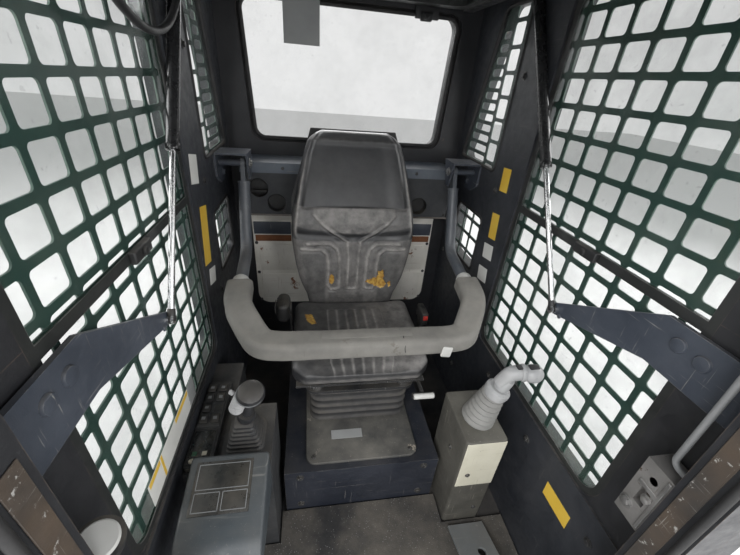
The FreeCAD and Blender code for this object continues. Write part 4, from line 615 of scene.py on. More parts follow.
    @classmethod
    def slab(cls, half: Point, radius: float, cells: tuple[int, int, int]) -> "Form":
        """A block about the origin in a close grid of faces, all its edges rounded."""
        form = cls()
        bmesh.ops.create_cube(form.mesh, size=2.0)
        form.scaled(half)
        for axis, count in enumerate(cells):
            edges = [e for e in form.mesh.edges
                     if abs(e.verts[0].co[axis] - e.verts[1].co[axis]) > 1e-6]
            bmesh.ops.subdivide_edges(form.mesh, edges=edges, cuts=count - 1, use_grid_fill=True)
        for vert in form.mesh.verts:
            core = Vector([max(-h + radius, min(h - radius, c)) for c, h in zip(vert.co, half)])
            out = vert.co - core
            if out.length > 1e-9:
                vert.co = core + out.normalized() * radius
        return form

    def bevel(self, edges: Sequence[bmesh.types.BMEdge], offset: float, segments: int) -> "Form":
        """Rounds some edges."""
        bmesh.ops.bevel(self.mesh, geom=list(edges), offset=offset, offset_type="OFFSET",
                        segments=segments, profile=0.5, affect="EDGES", clamp_overlap=True, material=-1)
        return self

    def softened(self, soft: float, segments: int = 2) -> "Form":
        """Rounds every sharp edge."""
        if soft:
            self.bevel([e for e in self.mesh.edges if e.calc_face_angle(0.0) > 0.5], soft, segments)
        return self

    def moved(self, step: Point | Vector) -> "Form":
        """Moves the whole form."""
        bmesh.ops.translate(self.mesh, vec=Vector(step), verts=self.mesh.verts)
        return self

    def scaled(self, size: Point | Vector, about: Point = (0.0, 0.0, 0.0)) -> "Form":
        """Scales the whole form about a point."""
        bmesh.ops.scale(self.mesh, vec=Vector(size), verts=self.mesh.verts,
                        space=Matrix.Translation(-Vector(about)))
        return self

    def turned(self, degrees: float, axis: Axis | Point, pivot: Point = (0.0, 0.0, 0.0)) -> "Form":
        """Turns the whole form about a line."""
        line = axis.step(1.0) if isinstance(axis, Axis) else Vector(axis)
        bmesh.ops.rotate(self.mesh, cent=Vector(pivot), verts=self.mesh.verts,
                         matrix=Matrix.Rotation(math.radians(degrees), 3, line))
        return self

    def twin(self) -> "Form":
        """A copy on the cab's other side."""
        copy = Form()
        copy.mesh = self.mesh.copy()
        copy.scaled((-1.0, 1.0, 1.0))
        bmesh.ops.reverse_faces(copy.mesh, faces=copy.mesh.faces)
        return copy

    def join(self, *others: "Form") -> "Form":
        """Takes other forms into this one."""
        for other in others:
            data = bpy.data.meshes.new("joined")
            other.mesh.to_mesh(data)
            self.mesh.from_mesh(data)
            bpy.data.meshes.remove(data)
            other.mesh.free()
        return self

    def piece(self, name: str, finish: Surface, slot: str,
              body: str = "cab", stands_for: Sequence[str] = (), sharp: float = 34.0) -> bpy.types.Object:
        """Ends the form as a piece of the cab.

        Args:
            name: The piece's name.
            finish: What it is made of.
            slot: A slot name for its finish; not used.
            body: The body that it rides on.
            stands_for: The solids that it stands for.
            sharp: The angle in degrees over which an edge stays crisp.

        Returns:
            The piece.
        """
        bmesh.ops.recalc_face_normals(self.mesh, faces=self.mesh.faces)
        for face in self.mesh.faces:
            face.smooth = True
        for edge in self.mesh.edges:
            edge.smooth = edge.calc_face_angle(0.0) < math.radians(sharp)
        data = bpy.data.meshes.new(name)
        self.mesh.to_mesh(data)
        self.mesh.free()
        data.materials.append(finish.material())
        made = bpy.data.objects.new(name, data)
        bpy.context.scene.collection.objects.link(made)
        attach(made, body)
        if stands_for:
            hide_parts(*stands_for)
        LOG.info("%s: %d faces on %s", name, len(data.polygons), body)
        return made


def both(form: Form) -> Form:
    """A form and its copy on the other side."""
    twin = form.twin()
    return form.join(twin)


def rounded_outline(half_width: float, half_height: float, radius: float, steps: int = 4) -> list[Flat]:
    """A rounded rectangle about the origin."""
    outline = []
    for sx, sy, start in ((1, 1, 0), (-1, 1, 90), (-1, -1, 180), (1, -1, 270)):
        for k in range(steps + 1):
            angle = math.radians(start + 90.0 * k / steps)
            outline.append((sx * (half_width - radius) + radius * math.cos(angle),
                            sy * (half_height - radius) + radius * math.sin(angle)))
    return outline


def rounded_ring(corners: Sequence[Flat], radius: float, steps: int = 5) -> list[Flat]:
    """A ring with these corners, each cut back and rounded."""
    ring = []
    for before, corner, after in zip((corners[-1], *corners), corners, (*corners[1:], corners[0])):
        here = Vector(corner)
        back = here + (Vector(before) - here).normalized() * radius
        ahead = here + (Vector(after) - here).normalized() * radius
        for k in range(steps + 1):
            t = k / steps
            ring.append(tuple(back * (1.0 - t) ** 2 + here * 2.0 * t * (1.0 - t) + ahead * t ** 2))
    return ring


def pleats(outline: Sequence[Flat], centre: Flat, levels: Sequence[tuple[float, float]]) -> Form:
    """A stack of rings that swell and draw in, such as bellows.

    Args:
        outline: The ring at full size, about the origin.
        centre: Where the stack stands.
        levels: The height and the share of full size of each ring.

    Returns:
        The closed solid.
    """
    form = Form()
    height, share = levels[0]
    ring = [(centre[0] + a * share, centre[1] + b * share, height) for a, b in outline]
    face = form.mesh.faces.new([form.mesh.verts.new(place) for place in ring])
    for next_height, next_share in levels[1:]:
        made = bmesh.ops.extrude_face_region(form.mesh, geom=[face])["geom"]
        verts = [v for v in made if isinstance(v, bmesh.types.BMVert)]
        face = next(f for f in made if isinstance(f, bmesh.types.BMFace))
        for vert in verts:
            vert.co.x = centre[0] + (vert.co.x - centre[0]) * next_share / share
            vert.co.y = centre[1] + (vert.co.y - centre[1]) * next_share / share
            vert.co.z = next_height
        share = next_share
    return form


def reading(table: Sequence[Flat], at: float) -> float:
    """The value that a table of (place, value) rows gives at a place, straight between its rows."""
    if at <= table[0][0]:
        return table[0][1]
    for (low, one), (high, two) in zip(table, table[1:]):
        if at <= high:
            t = (at - low) / (high - low)
            return one + (two - one) * t
    return table[-1][1]


def step_up(low: float, high: float, at: float) -> float:
    """0 before low, 1 after high, and a smooth rise between."""
    t = max(0.0, min(1.0, (at - low) / (high - low)))
    return t * t * (3.0 - 2.0 * t)


def swell(gap: float, width: float) -> float:
    """1 where the gap is nothing, falling off smoothly over the width."""
    return math.exp(-(gap / width) ** 2)


def off_line(a: float, b: float, line: Sequence[Flat]) -> float:
    """How far a point is from a line of straight runs."""
    best = 1e9
    for (x0, y0), (x1, y1) in zip(line, line[1:]):
        dx, dy = x1 - x0, y1 - y0
        t = max(0.0, min(1.0, ((a - x0) * dx + (b - y0) * dy) / (dx * dx + dy * dy)))
        best = min(best, math.hypot(a - x0 - t * dx, b - y0 - t * dy))
    return best


def hex_bolt(place: Point, direction: Point, size: float = 0.008, height: float = 0.005) -> Form:
    """A hexagon bolt head on a washer."""
    start, way = Vector(place), Vector(direction).normalized()
    washer = Form.rod(start, start + way * height * 0.35, size * 1.45, sides=24)
    head = Form.rod(start + way * height * 0.3, start + way * height * 1.3, size, sides=6, soft=size * 0.12)
    return washer.join(head)


def cap_screw(place: Point, direction: Point, size: float = 0.006) -> Form:
    """A low round screw head with a socket."""
    return Form.lathe(((0, 0), (size, 0), (size, size * 0.25), (size * 0.75, size * 0.5),
                       (size * 0.4, size * 0.52), (size * 0.36, size * 0.15), (0, size * 0.15)),
                      place, direction, 20)


def dress(nodes: dict, finish: Surface, *names: str) -> None:
    """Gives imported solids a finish."""
    for name in names:
        node = nodes[name]
        if node.material_slots:
            for place in node.material_slots:
                place.material = finish.material()
        else:
            node.data.materials.append(finish.material())
        LOG.info("%s keeps its solid, in %s", name, finish.name)


@dataclass
class Viewpoint:
    """The camera, placed where the photograph was taken."""

    place: Point = (-0.1512, -0.860, 1.260)
    yaw: float = 10.952
    pitch: float = 29.545
    roll: float = -4.897
    lens: float = 16.976

    def build(self) -> None:
        """Makes the camera and gives it to the scene."""
        yaw, pitch, roll = (math.radians(a) for a in (self.yaw, self.pitch, self.roll))
        ahead = Vector((math.sin(yaw) * math.cos(pitch), math.cos(yaw) * math.cos(pitch), -math.sin(pitch)))
        level = Vector((math.cos(yaw), -math.sin(yaw), 0.0))
        down = ahead.cross(level)
        right = level * math.cos(roll) + down * math.sin(roll)
        below = down * math.cos(roll) - level * math.sin(roll)
        data = bpy.data.cameras.new("photo_view")
        data.sensor_fit = "HORIZONTAL"
        data.sensor_width = 36.0
        data.lens = self.lens
        data.clip_start = 0.01
        camera = bpy.data.objects.new("photo_view", data)
        bpy.context.scene.collection.objects.link(camera)
        turn = Matrix((right, -below, -ahead)).transposed().to_4x4()
        camera.matrix_world = Matrix.Translation(self.place) @ turn
        bpy.context.scene.camera = camera
        LOG.info("photo_view: %.2f mm", self.lens)


@dataclass
class Hose:
    """The washer hose that loops from the headliner to the stowed door."""

    route: tuple = ((-0.415, -0.338, 1.545), (-0.415, -0.338, 1.490), (-0.415, -0.314, 1.432),
                    (-0.415, -0.268, 1.376), (-0.415, -0.196, 1.324), (-0.415, -0.104, 1.300),
                    (-0.415, -0.008, 1.314), (-0.415, 0.076, 1.362), (-0.415, 0.132, 1.424),
                    (-0.415, 0.160, 1.466), (-0.415, 0.186, 1.502), (-0.392, 0.186, 1.502))
    diameter: float = 0.014
    length: float = 0.76

    def build(self) -> None:
        """Makes the hose and the grommet that it leaves the headliner through."""
        curve = bpy.data.curves.new("washer_hose", "CURVE")
        curve.dimensions = "3D"
        curve.resolution_u = 16
        curve.bevel_depth = self.diameter / 2.0
        curve.bevel_resolution = 6
        curve.use_fill_caps = True
        spline = curve.splines.new("NURBS")
        spline.points.add(len(self.route) - 1)
        for point, place in zip(spline.points, self.route):
            point.co = (*place, 1.0)
        spline.order_u = 3
        spline.use_endpoint_u = True
        curve.materials.append(HOSE_RUBBER.material())
        hose = bpy.data.objects.new("washer_hose", curve)
        bpy.context.scene.collection.objects.link(hose)
        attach(hose, "cab")
        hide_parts("door_hose")
        x, y, z = self.route[0]
        Form.lathe(((0, -0.034), (0.0078, -0.034), (0.0085, -0.02), (0.012, -0.008), (0.015, -0.001),
                    (0, -0.001)), (x, y, z - 0.008)).piece("hose_grommet", SEAL_RUBBER, "seal_rubber")
        LOG.info("washer_hose: %.2f m on cab", self.length)


@dataclass
class Shell:
    """The welded frame with its floor, liners, roof and blank labels."""

    half_width: float = 0.505
    liner_face: float = 0.455
    door_half: float = 0.400
    door_low: float = 0.100
    door_high: float = 1.476
    roof_low: float = 1.545
    roof_top: float = 1.600
    front: float = 0.690
    roof_rim: float = 0.055
    press_depth: float = 0.008
    seal_inset: float = 0.004
    seal_face: float = -0.6815
    seal_radius: float = 0.006
    label_sheet: float = 0.0007
    glass_face: float = -0.4631

    def build(self, nodes: dict) -> None:
        """Dresses the solids and adds the parts that they carry."""
        dress(nodes, FRAME_PAINT, "front_frame", "rear_frame", "side_frame_left", "side_frame_right",
              "floor_pan")
        dress(nodes, LINER_PAINT, "side_liner_left", "side_liner_right")
        dress(nodes, MAT_RUBBER, "floor_mat")
        dress(nodes, HEADLINER, "headliner")
        self.roof()
        self.door_seal()
        self.jamb()
        self.post_bolts()
        self.labels()

    def roof(self) -> None:
        """The pressed roof: a rim, and panels that are drawn in between its ribs."""
        top, low, half, front = self.roof_top, self.roof_low, self.half_width, self.front
        form = Form.box((-half, -front, low), (half, front, top), 0.012, 3)
        faces = [f for f in form.mesh.faces if f.normal.z > 0.99]
        bmesh.ops.inset_region(form.mesh, faces=faces, thickness=self.roof_rim, depth=0.0,
                               use_even_offset=True)
        panel = max((f for f in form.mesh.faces if f.normal.z > 0.99), key=lambda f: f.calc_area())
        long_edges = [e for e in panel.edges if abs(e.verts[0].co.y - e.verts[1].co.y) > 0.1]
        bmesh.ops.subdivide_edges(form.mesh, edges=long_edges, cuts=3, use_grid_fill=True)
        panels = [f for f in form.mesh.faces if f.normal.z > 0.99 and f.calc_area() > 0.05
                  and abs(f.calc_center_median().x) < 0.01]
        for width in (0.03, 0.012):
            bmesh.ops.inset_individual(form.mesh, faces=panels, thickness=width, depth=0.0,
                                       use_even_offset=True)
        pressed = list({v for f in panels for v in f.verts})
        bmesh.ops.translate(form.mesh, vec=(0.0, 0.0, -self.press_depth), verts=pressed)
        form.piece("pressed_roof", FRAME_PAINT, "frame_paint", stands_for=("roof_shell",))

    def door_seal(self) -> None:
        """The rubber bulb round the door opening."""
        middle = (self.door_low + self.door_high) / 2.0
        half_high = (self.door_high - self.door_low) / 2.0
        ring = rounded_outline(self.door_half - self.seal_inset, half_high - self.seal_inset, 0.068, 6)
        Form.sweep([(a, self.seal_face, middle + b) for a, b in ring], self.seal_radius, closed=True).piece(
            "door_opening_seal", SEAL_RUBBER, "seal_rubber")

    def jamb(self) -> None:
        """The rubbed steel strips that the door has worn bare on both jambs."""
        strips = Form()
        for x in (self.door_half - 0.0022, -self.door_half + 0.0002):
            strips.join(Form.box((x, -0.667, 0.19), (x + 0.002, -0.640, 0.96), 0.0006, 1))
        strips.piece("jamb_wear_strips", JAMB_STEEL, "latch_steel")

    def post_bolts(self) -> None:
        """Bolts on the posts, the sills and the front frame."""
        bolts = Form()
        face = self.liner_face
        for y, z in ((0.215, 0.60), (0.215, 0.97), (0.215, 1.30), (0.215, 0.20), (0.545, 0.60),
                     (-0.56, 0.395), (-0.30, 0.395), (-0.05, 0.395)):
            bolts.join(hex_bolt((face, y, z), (-1, 0, 0), 0.0075, 0.005))
        for x, z in ((0.44, 0.30), (0.44, 0.56), (0.44, 1.2), (0.44, 1.42)):
            bolts.join(cap_screw((x, -0.630, z), (0, 1, 0), 0.008))
        both(bolts).piece("frame_bolts", BLACK_STEEL, "black_steel")

    def labels(self) -> None:
        """Blank label plates on the liners."""
        rows = (("label_right_upper", LABEL_YELLOW, 1, (0.170, 1.014), 0.046, 0.072, -4.0),
                ("label_right_middle", LABEL_YELLOW, 1, (0.166, 0.861), 0.046, 0.086, -7.0),
                ("label_right_small_a", LABEL_WHITE, 1, (0.163, 0.769), 0.062, 0.052, -9.0),
                ("label_right_small_b", LABEL_WHITE, 1, (0.161, 0.682), 0.062, 0.052, -9.0),
                ("label_right_sill", LABEL_YELLOW, 1, (-0.460, 0.359), 0.090, 0.046, -2.0),
                ("label_left_upper", LABEL_WHITE, -1, (0.138, 1.019), 0.062, 0.075, -12.0),
                ("label_left_middle", LABEL_YELLOW, -1, (0.143, 0.828), 0.060, 0.17, -12.0),
                ("label_left_small", LABEL_WHITE, -1, (0.147, 0.693), 0.062, 0.05, -15.0))
        for name, finish, side, (y, z), wide, high, tilt in rows:
            x = side * self.liner_face
            near, far = sorted((x, x - side * self.label_sheet))
            form = Form.box((near, y - wide / 2.0, z - high / 2.0), (far, y + wide / 2.0, z + high / 2.0))
            form.turned(tilt, Axis.X, (x, y, z))
            form.piece(name, finish, "cover_paint")
        glass = self.glass_face
        strip = Form.box((glass, -0.430, 0.488), (glass + 0.0006, -0.185, 0.552))
        strip.piece("label_window_strip", LABEL_WHITE, "cover_paint")
        ends = Form.box((glass, -0.183, 0.488), (glass + 0.0005, -0.140, 0.556))
        ends.piece("label_window_end", LABEL_GREY, "cover_paint")
        heads = Form.box((glass + 0.0003, -0.275, 0.538), (glass + 0.0009, -0.188, 0.551))
        heads.join(Form.box((glass + 0.0003, -0.425, 0.538), (glass + 0.0009, -0.372, 0.551)),
                   Form.box((glass + 0.0003, -0.368, 0.490), (glass + 0.0009, -0.360, 0.551)))
        heads.piece("label_window_heads", LABEL_YELLOW, "cover_paint")


@dataclass
class Windows:
    """The side and quarter windows with their guards and gaskets."""

    liner_face: float = 0.455
    gasket_radius: float = 0.006
    gasket_corner: float = 0.026

    def build(self, nodes: dict) -> None:
        """Dresses the panes and guards, and adds gaskets and catches."""
        dress(nodes, TINTED_GLASS, "side_glass")
        dress(nodes, CLEAR_GLASS, "quarter_glass", "rear_glass")
        dress(nodes, WINDOW_BLACK, "window_frame_left", "window_frame_right")
        dress(nodes, GUARD_PAINT, "side_guard_left", "side_guard_right", "quarter_guards_left",
              "quarter_guards_right")
        self.gaskets()
        self.catches()

    def gaskets(self) -> None:
        """The rubber that lines the quarter windows."""
        form = Form()
        upper = ((0.253, 1.021), (0.544, 1.021), (0.413, 1.484), (0.253, 1.484))
        lower = ((0.253, 0.645), (0.475, 0.645), (0.475, 0.855), (0.253, 0.855))
        for corners in (upper, lower):
            ring = rounded_ring(corners, self.gasket_corner)
            route = [(self.liner_face + 0.002, a, b) for a, b in ring]
            form.join(Form.sweep(route, self.gasket_radius, closed=True))
        both(form).piece("quarter_window_gaskets", SEAL_RUBBER, "seal_rubber")

    def catches(self) -> None:
        """The catch of each sliding window."""
        form = Form.box((0.449, -0.27, 0.948), (0.4615, -0.20, 0.972), 0.003, 3)
        form.join(Form.rod((0.443, -0.235, 0.960), (0.450, -0.235, 0.960), 0.008, soft=0.002))
        both(form).piece("sliding_window_catches", BELT_PLASTIC, "belt_plastic")


@dataclass
class RearWall:
    """What stands behind the seat: air ducts, a pale cover and the rear window."""

    duct_front: float = 0.461
    cap_front: float = 0.453
    cover_front: float = 0.578
    outlets: tuple = ((-0.340, 0.882), (-0.278, 0.827), (0.278, 0.827))
    outlet_radius: float = 0.0344
    flap_half: float = 0.028
    lip_corner: float = 0.04

    def build(self, nodes: dict) -> None:
        """Dresses the solids and adds outlets, a lip, screws and the blank card."""
        dress(nodes, DUCT_PLASTIC, "duct_box")
        dress(nodes, CAP_PLASTIC, "duct_cap")
        dress(nodes, COVER_PAINT, "rear_cover")
        dress(nodes, SEAL_RUBBER, "rear_seal")
        self.air_outlets()
        self.window_lip()
        self.header_fittings()
        self.cover_parts()

    def air_outlets(self) -> None:
        """Round open outlets, one with its flap half shut."""
        form = Form()
        r, front = self.outlet_radius, self.duct_front
        cup = ((0, 0.0285), (r, 0.0285), (r, -0.001), (r * 0.97, -0.0022), (r * 0.93, -0.001),
               (r * 0.91, 0.004), (r * 0.91, 0.0265), (0, 0.0265))
        for x, z in self.outlets:
            form.join(Form.lathe(cup, (x, front, z), (0, 1, 0), 48))
        x, z = self.outlets[0]
        left, right = x - self.flap_half, x + self.flap_half
        form.join(Form.box((left, front + 0.009, z - 0.019), (right, front + 0.026, z - 0.013), 0.001, 1),
                  Form.rod((left, front + 0.010, z - 0.012), (right, front + 0.010, z - 0.012), 0.002))
        form.piece("open_outlets", BELT_PLASTIC, "shell_plastic", stands_for=("air_outlets",))
        lip = both(Form.box((0.225, front - 0.004, 0.7772), (0.404, front + 0.001, 0.7835), 0.001, 1))
        lip.piece("duct_lip", LIP_PAINT, "duct_plastic")

    def window_lip(self) -> None:
        """The soft inner lip of the rear window's rubber."""
        corner = self.lip_corner
        outline = []
        for sx, sz, half, z in ((1, 1, 0.373, 1.466), (-1, 1, 0.373, 1.466), (-1, -1, 0.354, 1.039),
                                (1, -1, 0.354, 1.039)):
            start = {(1, 1): 0, (-1, 1): 90, (-1, -1): 180, (1, -1): 270}[(sx, sz)]
            for k in range(6):
                angle = math.radians(start + 18 * k)
                outline.append((sx * (half - corner) + corner * math.cos(angle), 0.595,
                                z - sz * corner + corner * math.sin(angle)))
        Form.sweep(outline, 0.0075, closed=True).piece("rear_window_lip", SEAL_RUBBER, "seal_rubber")

    def header_fittings(self) -> None:
        """A blank card and a small catch, both screwed to the header over the rear window."""
        card = Form.box((-0.236, 0.5845, 1.344), (-0.116, 0.5860, 1.500), 0.0005, 1)
        card.piece("blank_card", LABEL_GREY, "cover_paint")
        screws = cap_screw((-0.216, 0.5845, 1.489), (0, -1, 0), 0.005)
        screws.join(cap_screw((-0.136, 0.5845, 1.489), (0, -1, 0), 0.005))
        screws.join(Form.box((-0.226, 0.585, 1.484), (-0.126, 0.590, 1.496)))
        screws.piece("card_screws", BARE_STEEL, "bare_steel")
        catch = Form.box((0.206, 0.572, 1.452), (0.290, 0.590, 1.492), 0.004, 3)
        catch.join(Form.box((0.222, 0.556, 1.444), (0.262, 0.576, 1.470), 0.005, 3))
        catch.join(Form.rod((0.240, 0.553, 1.456), (0.240, 0.561, 1.456), 0.009, soft=0.002))
        catch.piece("window_catch", BLACK_STEEL, "black_steel")

    def cover_parts(self) -> None:
        """The pale cover's pressed panels, rusty strips, blue bands and screws."""
        front = self.cover_front
        both(Form.box((0.236, front - 0.006, 0.620), (0.386, front, 0.648), 0.002, 2)).piece(
            "rusty_strips", RUST, "cover_paint")
        both(Form.box((0.236, front - 0.004, 0.652), (0.390, front, 0.708), 0.003, 2)).piece(
            "blue_bands", BRACKET_PAINT, "bracket_paint")
        panels = Form()
        for low, high in ((0.330, 0.455), (0.475, 0.600), (0.715, 0.765)):
            panels.join(Form.box((-0.372, front - 0.004, low), (0.372, front, high), 0.003, 2))
        panels.piece("cover_swages", COVER_PAINT, "cover_paint")
        screws = Form()
        for x, z in ((0.384, 0.32), (0.384, 0.465), (0.384, 0.61), (0.384, 0.765)):
            screws.join(cap_screw((x, front, z), (0, -1, 0), 0.007))
        for x in (0.39, 0.25, 0.10):
            screws.join(cap_screw((x, self.cap_front, 0.958), (0, -1, 0), 0.006))
            screws.join(cap_screw((x, self.duct_front, 0.792), (0, -1, 0), 0.006))
        both(screws).piece("rear_screws", BLACK_STEEL, "black_steel")


@dataclass
class SeatBase:
    """The riser, the suspension and the slides under the seat."""

    front: float = -0.243
    bellows_half: float = 0.160
    bellows_front: float = -0.086
    bellows_rear: float = 0.249
    bellows_low: float = 0.2575
    bellows_high: float = 0.4068
    pleat_count: int = 5

    def build(self, nodes: dict) -> None:
        """Dresses the solids and adds the pleated bellows, a plate and bolts."""
        dress(nodes, RISER_PAINT, "seat_riser")
        dress(nodes, BLACK_STEEL, "suspension_top", "seat_pan", "seat_lever")
        dress(nodes, BARE_STEEL, "seat_rails")
        self.base()
        self.bellows()
        self.small_parts()

    def base(self) -> None:
        """The tray that the suspension stands in, with its rolled rim."""
        form = Form.prism([(-0.173, -0.226), (0.173, -0.226), (0.173, 0.262), (-0.173, 0.262)], Axis.Z,
                          0.247, 0.2568, corner=0.03, soft=0.0028, segments=3)
        form.piece("suspension_tray", TRAY_PAINT, "black_steel", stands_for=("suspension_base",))

    def bellows(self) -> None:
        """Five pleats of dusty rubber."""
        middle = (self.bellows_front + self.bellows_rear) / 2.0
        outline = rounded_outline(self.bellows_half, (self.bellows_rear - self.bellows_front) / 2.0, 0.035, 6)
        rise = (self.bellows_high - self.bellows_low) / self.pleat_count
        levels = []
        for k in range(self.pleat_count):
            base = self.bellows_low + k * rise
            levels += [(base, 0.93), (base + rise * 0.12, 0.925), (base + rise * 0.42, 0.985),
                       (base + rise * 0.5, 1.0), (base + rise * 0.58, 0.985), (base + rise * 0.88, 0.925)]
        levels.append((self.bellows_high, 0.93))
        pleats(outline, (0.0, middle), levels).piece("pleated_bellows", BELLOWS_RUBBER, "bellows_rubber",
                                                     stands_for=("suspension_bellows",), sharp=60.0)

    def small_parts(self) -> None:
        """A blank bright plate on the tray, bolts, and the slide lever's grip."""
        plate = Form.box((-0.093, -0.150, 0.2568), (0.006, -0.118, 0.2580), 0.0004, 1)
        plate.piece("blank_rating_plate", LABEL_GREY, "bare_steel")
        bolts = hex_bolt((0.190, self.front, 0.222), (0, -1, 0), 0.008)
        bolts.join(hex_bolt((0.190, self.front, 0.085), (0, -1, 0), 0.008),
                   cap_screw((0.15, -0.205, 0.2568), (0, 0, 1), 0.007))
        both(bolts).piece("riser_bolts", BLACK_STEEL, "black_steel")
        grip = Form.rod((0.150, -0.158, 0.4370), (0.214, -0.158, 0.4370), 0.0085, sides=20, soft=0.003)
        grip.piece("slide_lever_grip", SLEEVE_PLASTIC, "black_steel", "seat")


@dataclass
class Seat:
    """The cushion, the backrest and the belt, with welts, worn patches, painted light and shade, and tears.
    """

    foot: float = 0.468
    top: float = 1.100
    back_front: float = 0.2655
    back_depth: float = 0.073
    knee: float = 0.815
    lean: float = 0.110
    widths: tuple = ((0.468, 0.150), (0.480, 0.160), (0.53, 0.170), (0.57, 0.186), (0.60, 0.196),
                     (0.65, 0.206), (0.70, 0.213), (0.755, 0.2185), (0.80, 0.2185), (0.86, 0.211),
                     (0.95, 0.193), (1.035, 0.172), (1.07, 0.158), (1.09, 0.140), (1.100, 0.126))
    seams: tuple = (((0.165, 0.744), (0.084, 0.741), (0.060, 0.722), (0.051, 0.690), (0.049, 0.562),
                     (0.060, 0.555), (0.080, 0.556)),
                    ((0.185, 0.726), (0.116, 0.721), (0.096, 0.703), (0.090, 0.660), (0.091, 0.575),
                     (0.080, 0.556)),
                    ((0.023, 0.742), (0.018, 0.700), (0.018, 0.558), (0.0, 0.556)))
    vee: tuple = ((0.142, 0.846), (0.108, 0.808), (0.070, 0.779), (0.020, 0.748))
    tears: tuple = (((0.048, 0.588), (0.080, 0.602), (0.100, 0.614), (0.096, 0.634), (0.106, 0.630),
                     (0.116, 0.638), (0.122, 0.612), (0.118, 0.600), (0.132, 0.580), (0.126, 0.566),
                     (0.112, 0.558), (0.092, 0.566), (0.066, 0.578)),
                    ((0.136, 0.588), (0.146, 0.590), (0.150, 0.572), (0.142, 0.566)),
                    ((-0.086, 0.586), (-0.085, 0.612), (-0.078, 0.620), (-0.070, 0.614), (-0.068, 0.590),
                     (-0.074, 0.578), (-0.082, 0.578)))
    welt: float = 0.0046
    tear_depth: float = 0.004
    finger_count: float = 6.0
    finger_pitch: float = 0.033
    finger_edge: float = 0.096
    finger_front: float = -0.150
    cushion_half: Point = (0.2125, 0.1825, 0.0415)
    cushion_middle: Point = (0.0, 0.0785, 0.4822)

    def build(self, nodes: dict) -> None:
        """Makes the soft parts and dresses the shell behind them."""
        dress(nodes, SHELL_PLASTIC, "seat_back_shell")
        self.backrest()
        self.cushion()
        self.belt()

    def inside(self, a: float, b: float, ring: Sequence[Flat]) -> bool:
        """Whether a point is in a closed outline."""
        odd = False
        for (x0, y0), (x1, y1) in zip(ring, (*ring[1:], ring[0])):
            if (y0 > b) != (y1 > b) and a < (x1 - x0) * (b - y0) / (y1 - y0) + x0:
                odd = not odd
        return odd

    def back_relief(self, x: float, z: float, half: float) -> float:
        """How far the backrest's face stands forward of its deepest place."""
        across = abs(x) / half
        bolster = 0.010 * step_up(0.50, 0.80, across) * (1.0 - 0.55 * step_up(0.80, 0.95, z))
        panel = 0.008 * step_up(0.864, 0.878, z + 0.006 * across) * (1.0 - step_up(0.82, 0.90, across))
        roll = 0.007 * swell(across - 0.935, 0.03) * step_up(0.74, 0.79, z)
        top_roll = 0.007 * swell(z - 1.078, 0.010) * (1.0 - step_up(0.85, 1.0, across))
        lumbar = 0.007 * swell(z - 0.65, 0.08) * (1.0 - across ** 2)
        fold = -0.006 * swell(z - 0.764 - 0.02 * across ** 2, 0.012)
        height = bolster + panel + roll + top_roll + lumbar + fold
        for line in (*self.seams, self.vee):
            gap = off_line(abs(x), z, line)
            if gap < 0.016:
                height += self.welt * swell(gap, 0.0030) - 0.0030 * swell(gap - 0.009, 0.003)
        return height

    def back_wear_and_light(self, x: float, z: float, half: float) -> float:
        """How grey the backrest's face is: rubbed wear, a lighter band that is partly painted sunlight, a
        painted shadow band left black under it, and side rims partly worn and partly painted highlight.
        """
        across = abs(x) / half
        low = 1.0 - step_up(-0.003, 0.003, z - 0.750 - 0.015 * across ** 2)
        # The band: a lighter grey band across the backrest, partly wear and partly painted sunlight.
        worn_and_sunlit_band = step_up(-0.003, 0.003, z - 0.780 - 0.035 * across ** 2) * (
            1.0 - step_up(-0.002, 0.002, z - 0.868 - 0.008 * across ** 2))
        inner = 1.0 - step_up(-0.004, 0.004, abs(x) - reading([(b, a) for a, b in reversed(self.vee)], z))
        panels = step_up(0.095, 0.105, abs(x)) * (1.0 - step_up(0.160, 0.185, abs(x))) * (
            1.0 - step_up(0.705, 0.718, z))
        # Nothing is added between low and the band above it, so the vinyl stays black there as a painted
        # shadow band.
        grey = worn_and_sunlit_band * (0.34 + 0.34 * inner) + low * (0.46 - 0.20 * panels)
        ridge = min(off_line(abs(x), z, line) for line in self.seams)
        fold = off_line(abs(x), z, self.vee)
        # rim: a light line along each side rim, partly wear and partly a painted highlight.
        rim = swell(across - 0.935, 0.018) * step_up(0.76, 0.80, z) * (1.0 - step_up(0.93, 1.06, z))
        grey += 1.2 * low * swell(ridge, 0.0040) + 0.7 * swell(fold, 0.0035) + rim
        return min(1.0, grey + 0.03 + 0.20 * swell(z - 1.079, 0.005))

    def backrest(self) -> None:
        """The backrest, swept to its outline, leaned above the knee, and crowned."""
        middle = (self.foot + self.top) / 2.0
        half = (0.2185, self.back_depth / 2.0, (self.top - self.foot) / 2.0)
        form = Form.slab(half, 0.032, (124, 12, 172))
        worn = form.mesh.verts.layers.float.new("worn")
        torn = form.mesh.verts.layers.float.new("torn")
        for vert in form.mesh.verts:
            x, y, z = vert.co
            z += middle
            width = reading(self.widths, z)
            x *= width / half[0]
            is_front = step_up(0.0, -half[1] * 0.9, y) if y < 0 else 0.0
            relief = self.back_relief(x, z, width) * is_front
            leaned = self.lean * max(0.0, z - self.knee) / (self.top - self.knee)
            soft_knee = 0.010 * swell(z - self.knee, 0.05)
            y = self.back_front + half[1] + y + leaned + soft_knee * 0.6 + 0.012 * is_front - relief
            y += 0.0012 * noise.noise(Vector((x, z, y)) * 14.0) * is_front
            vert.co = (x, y, z)
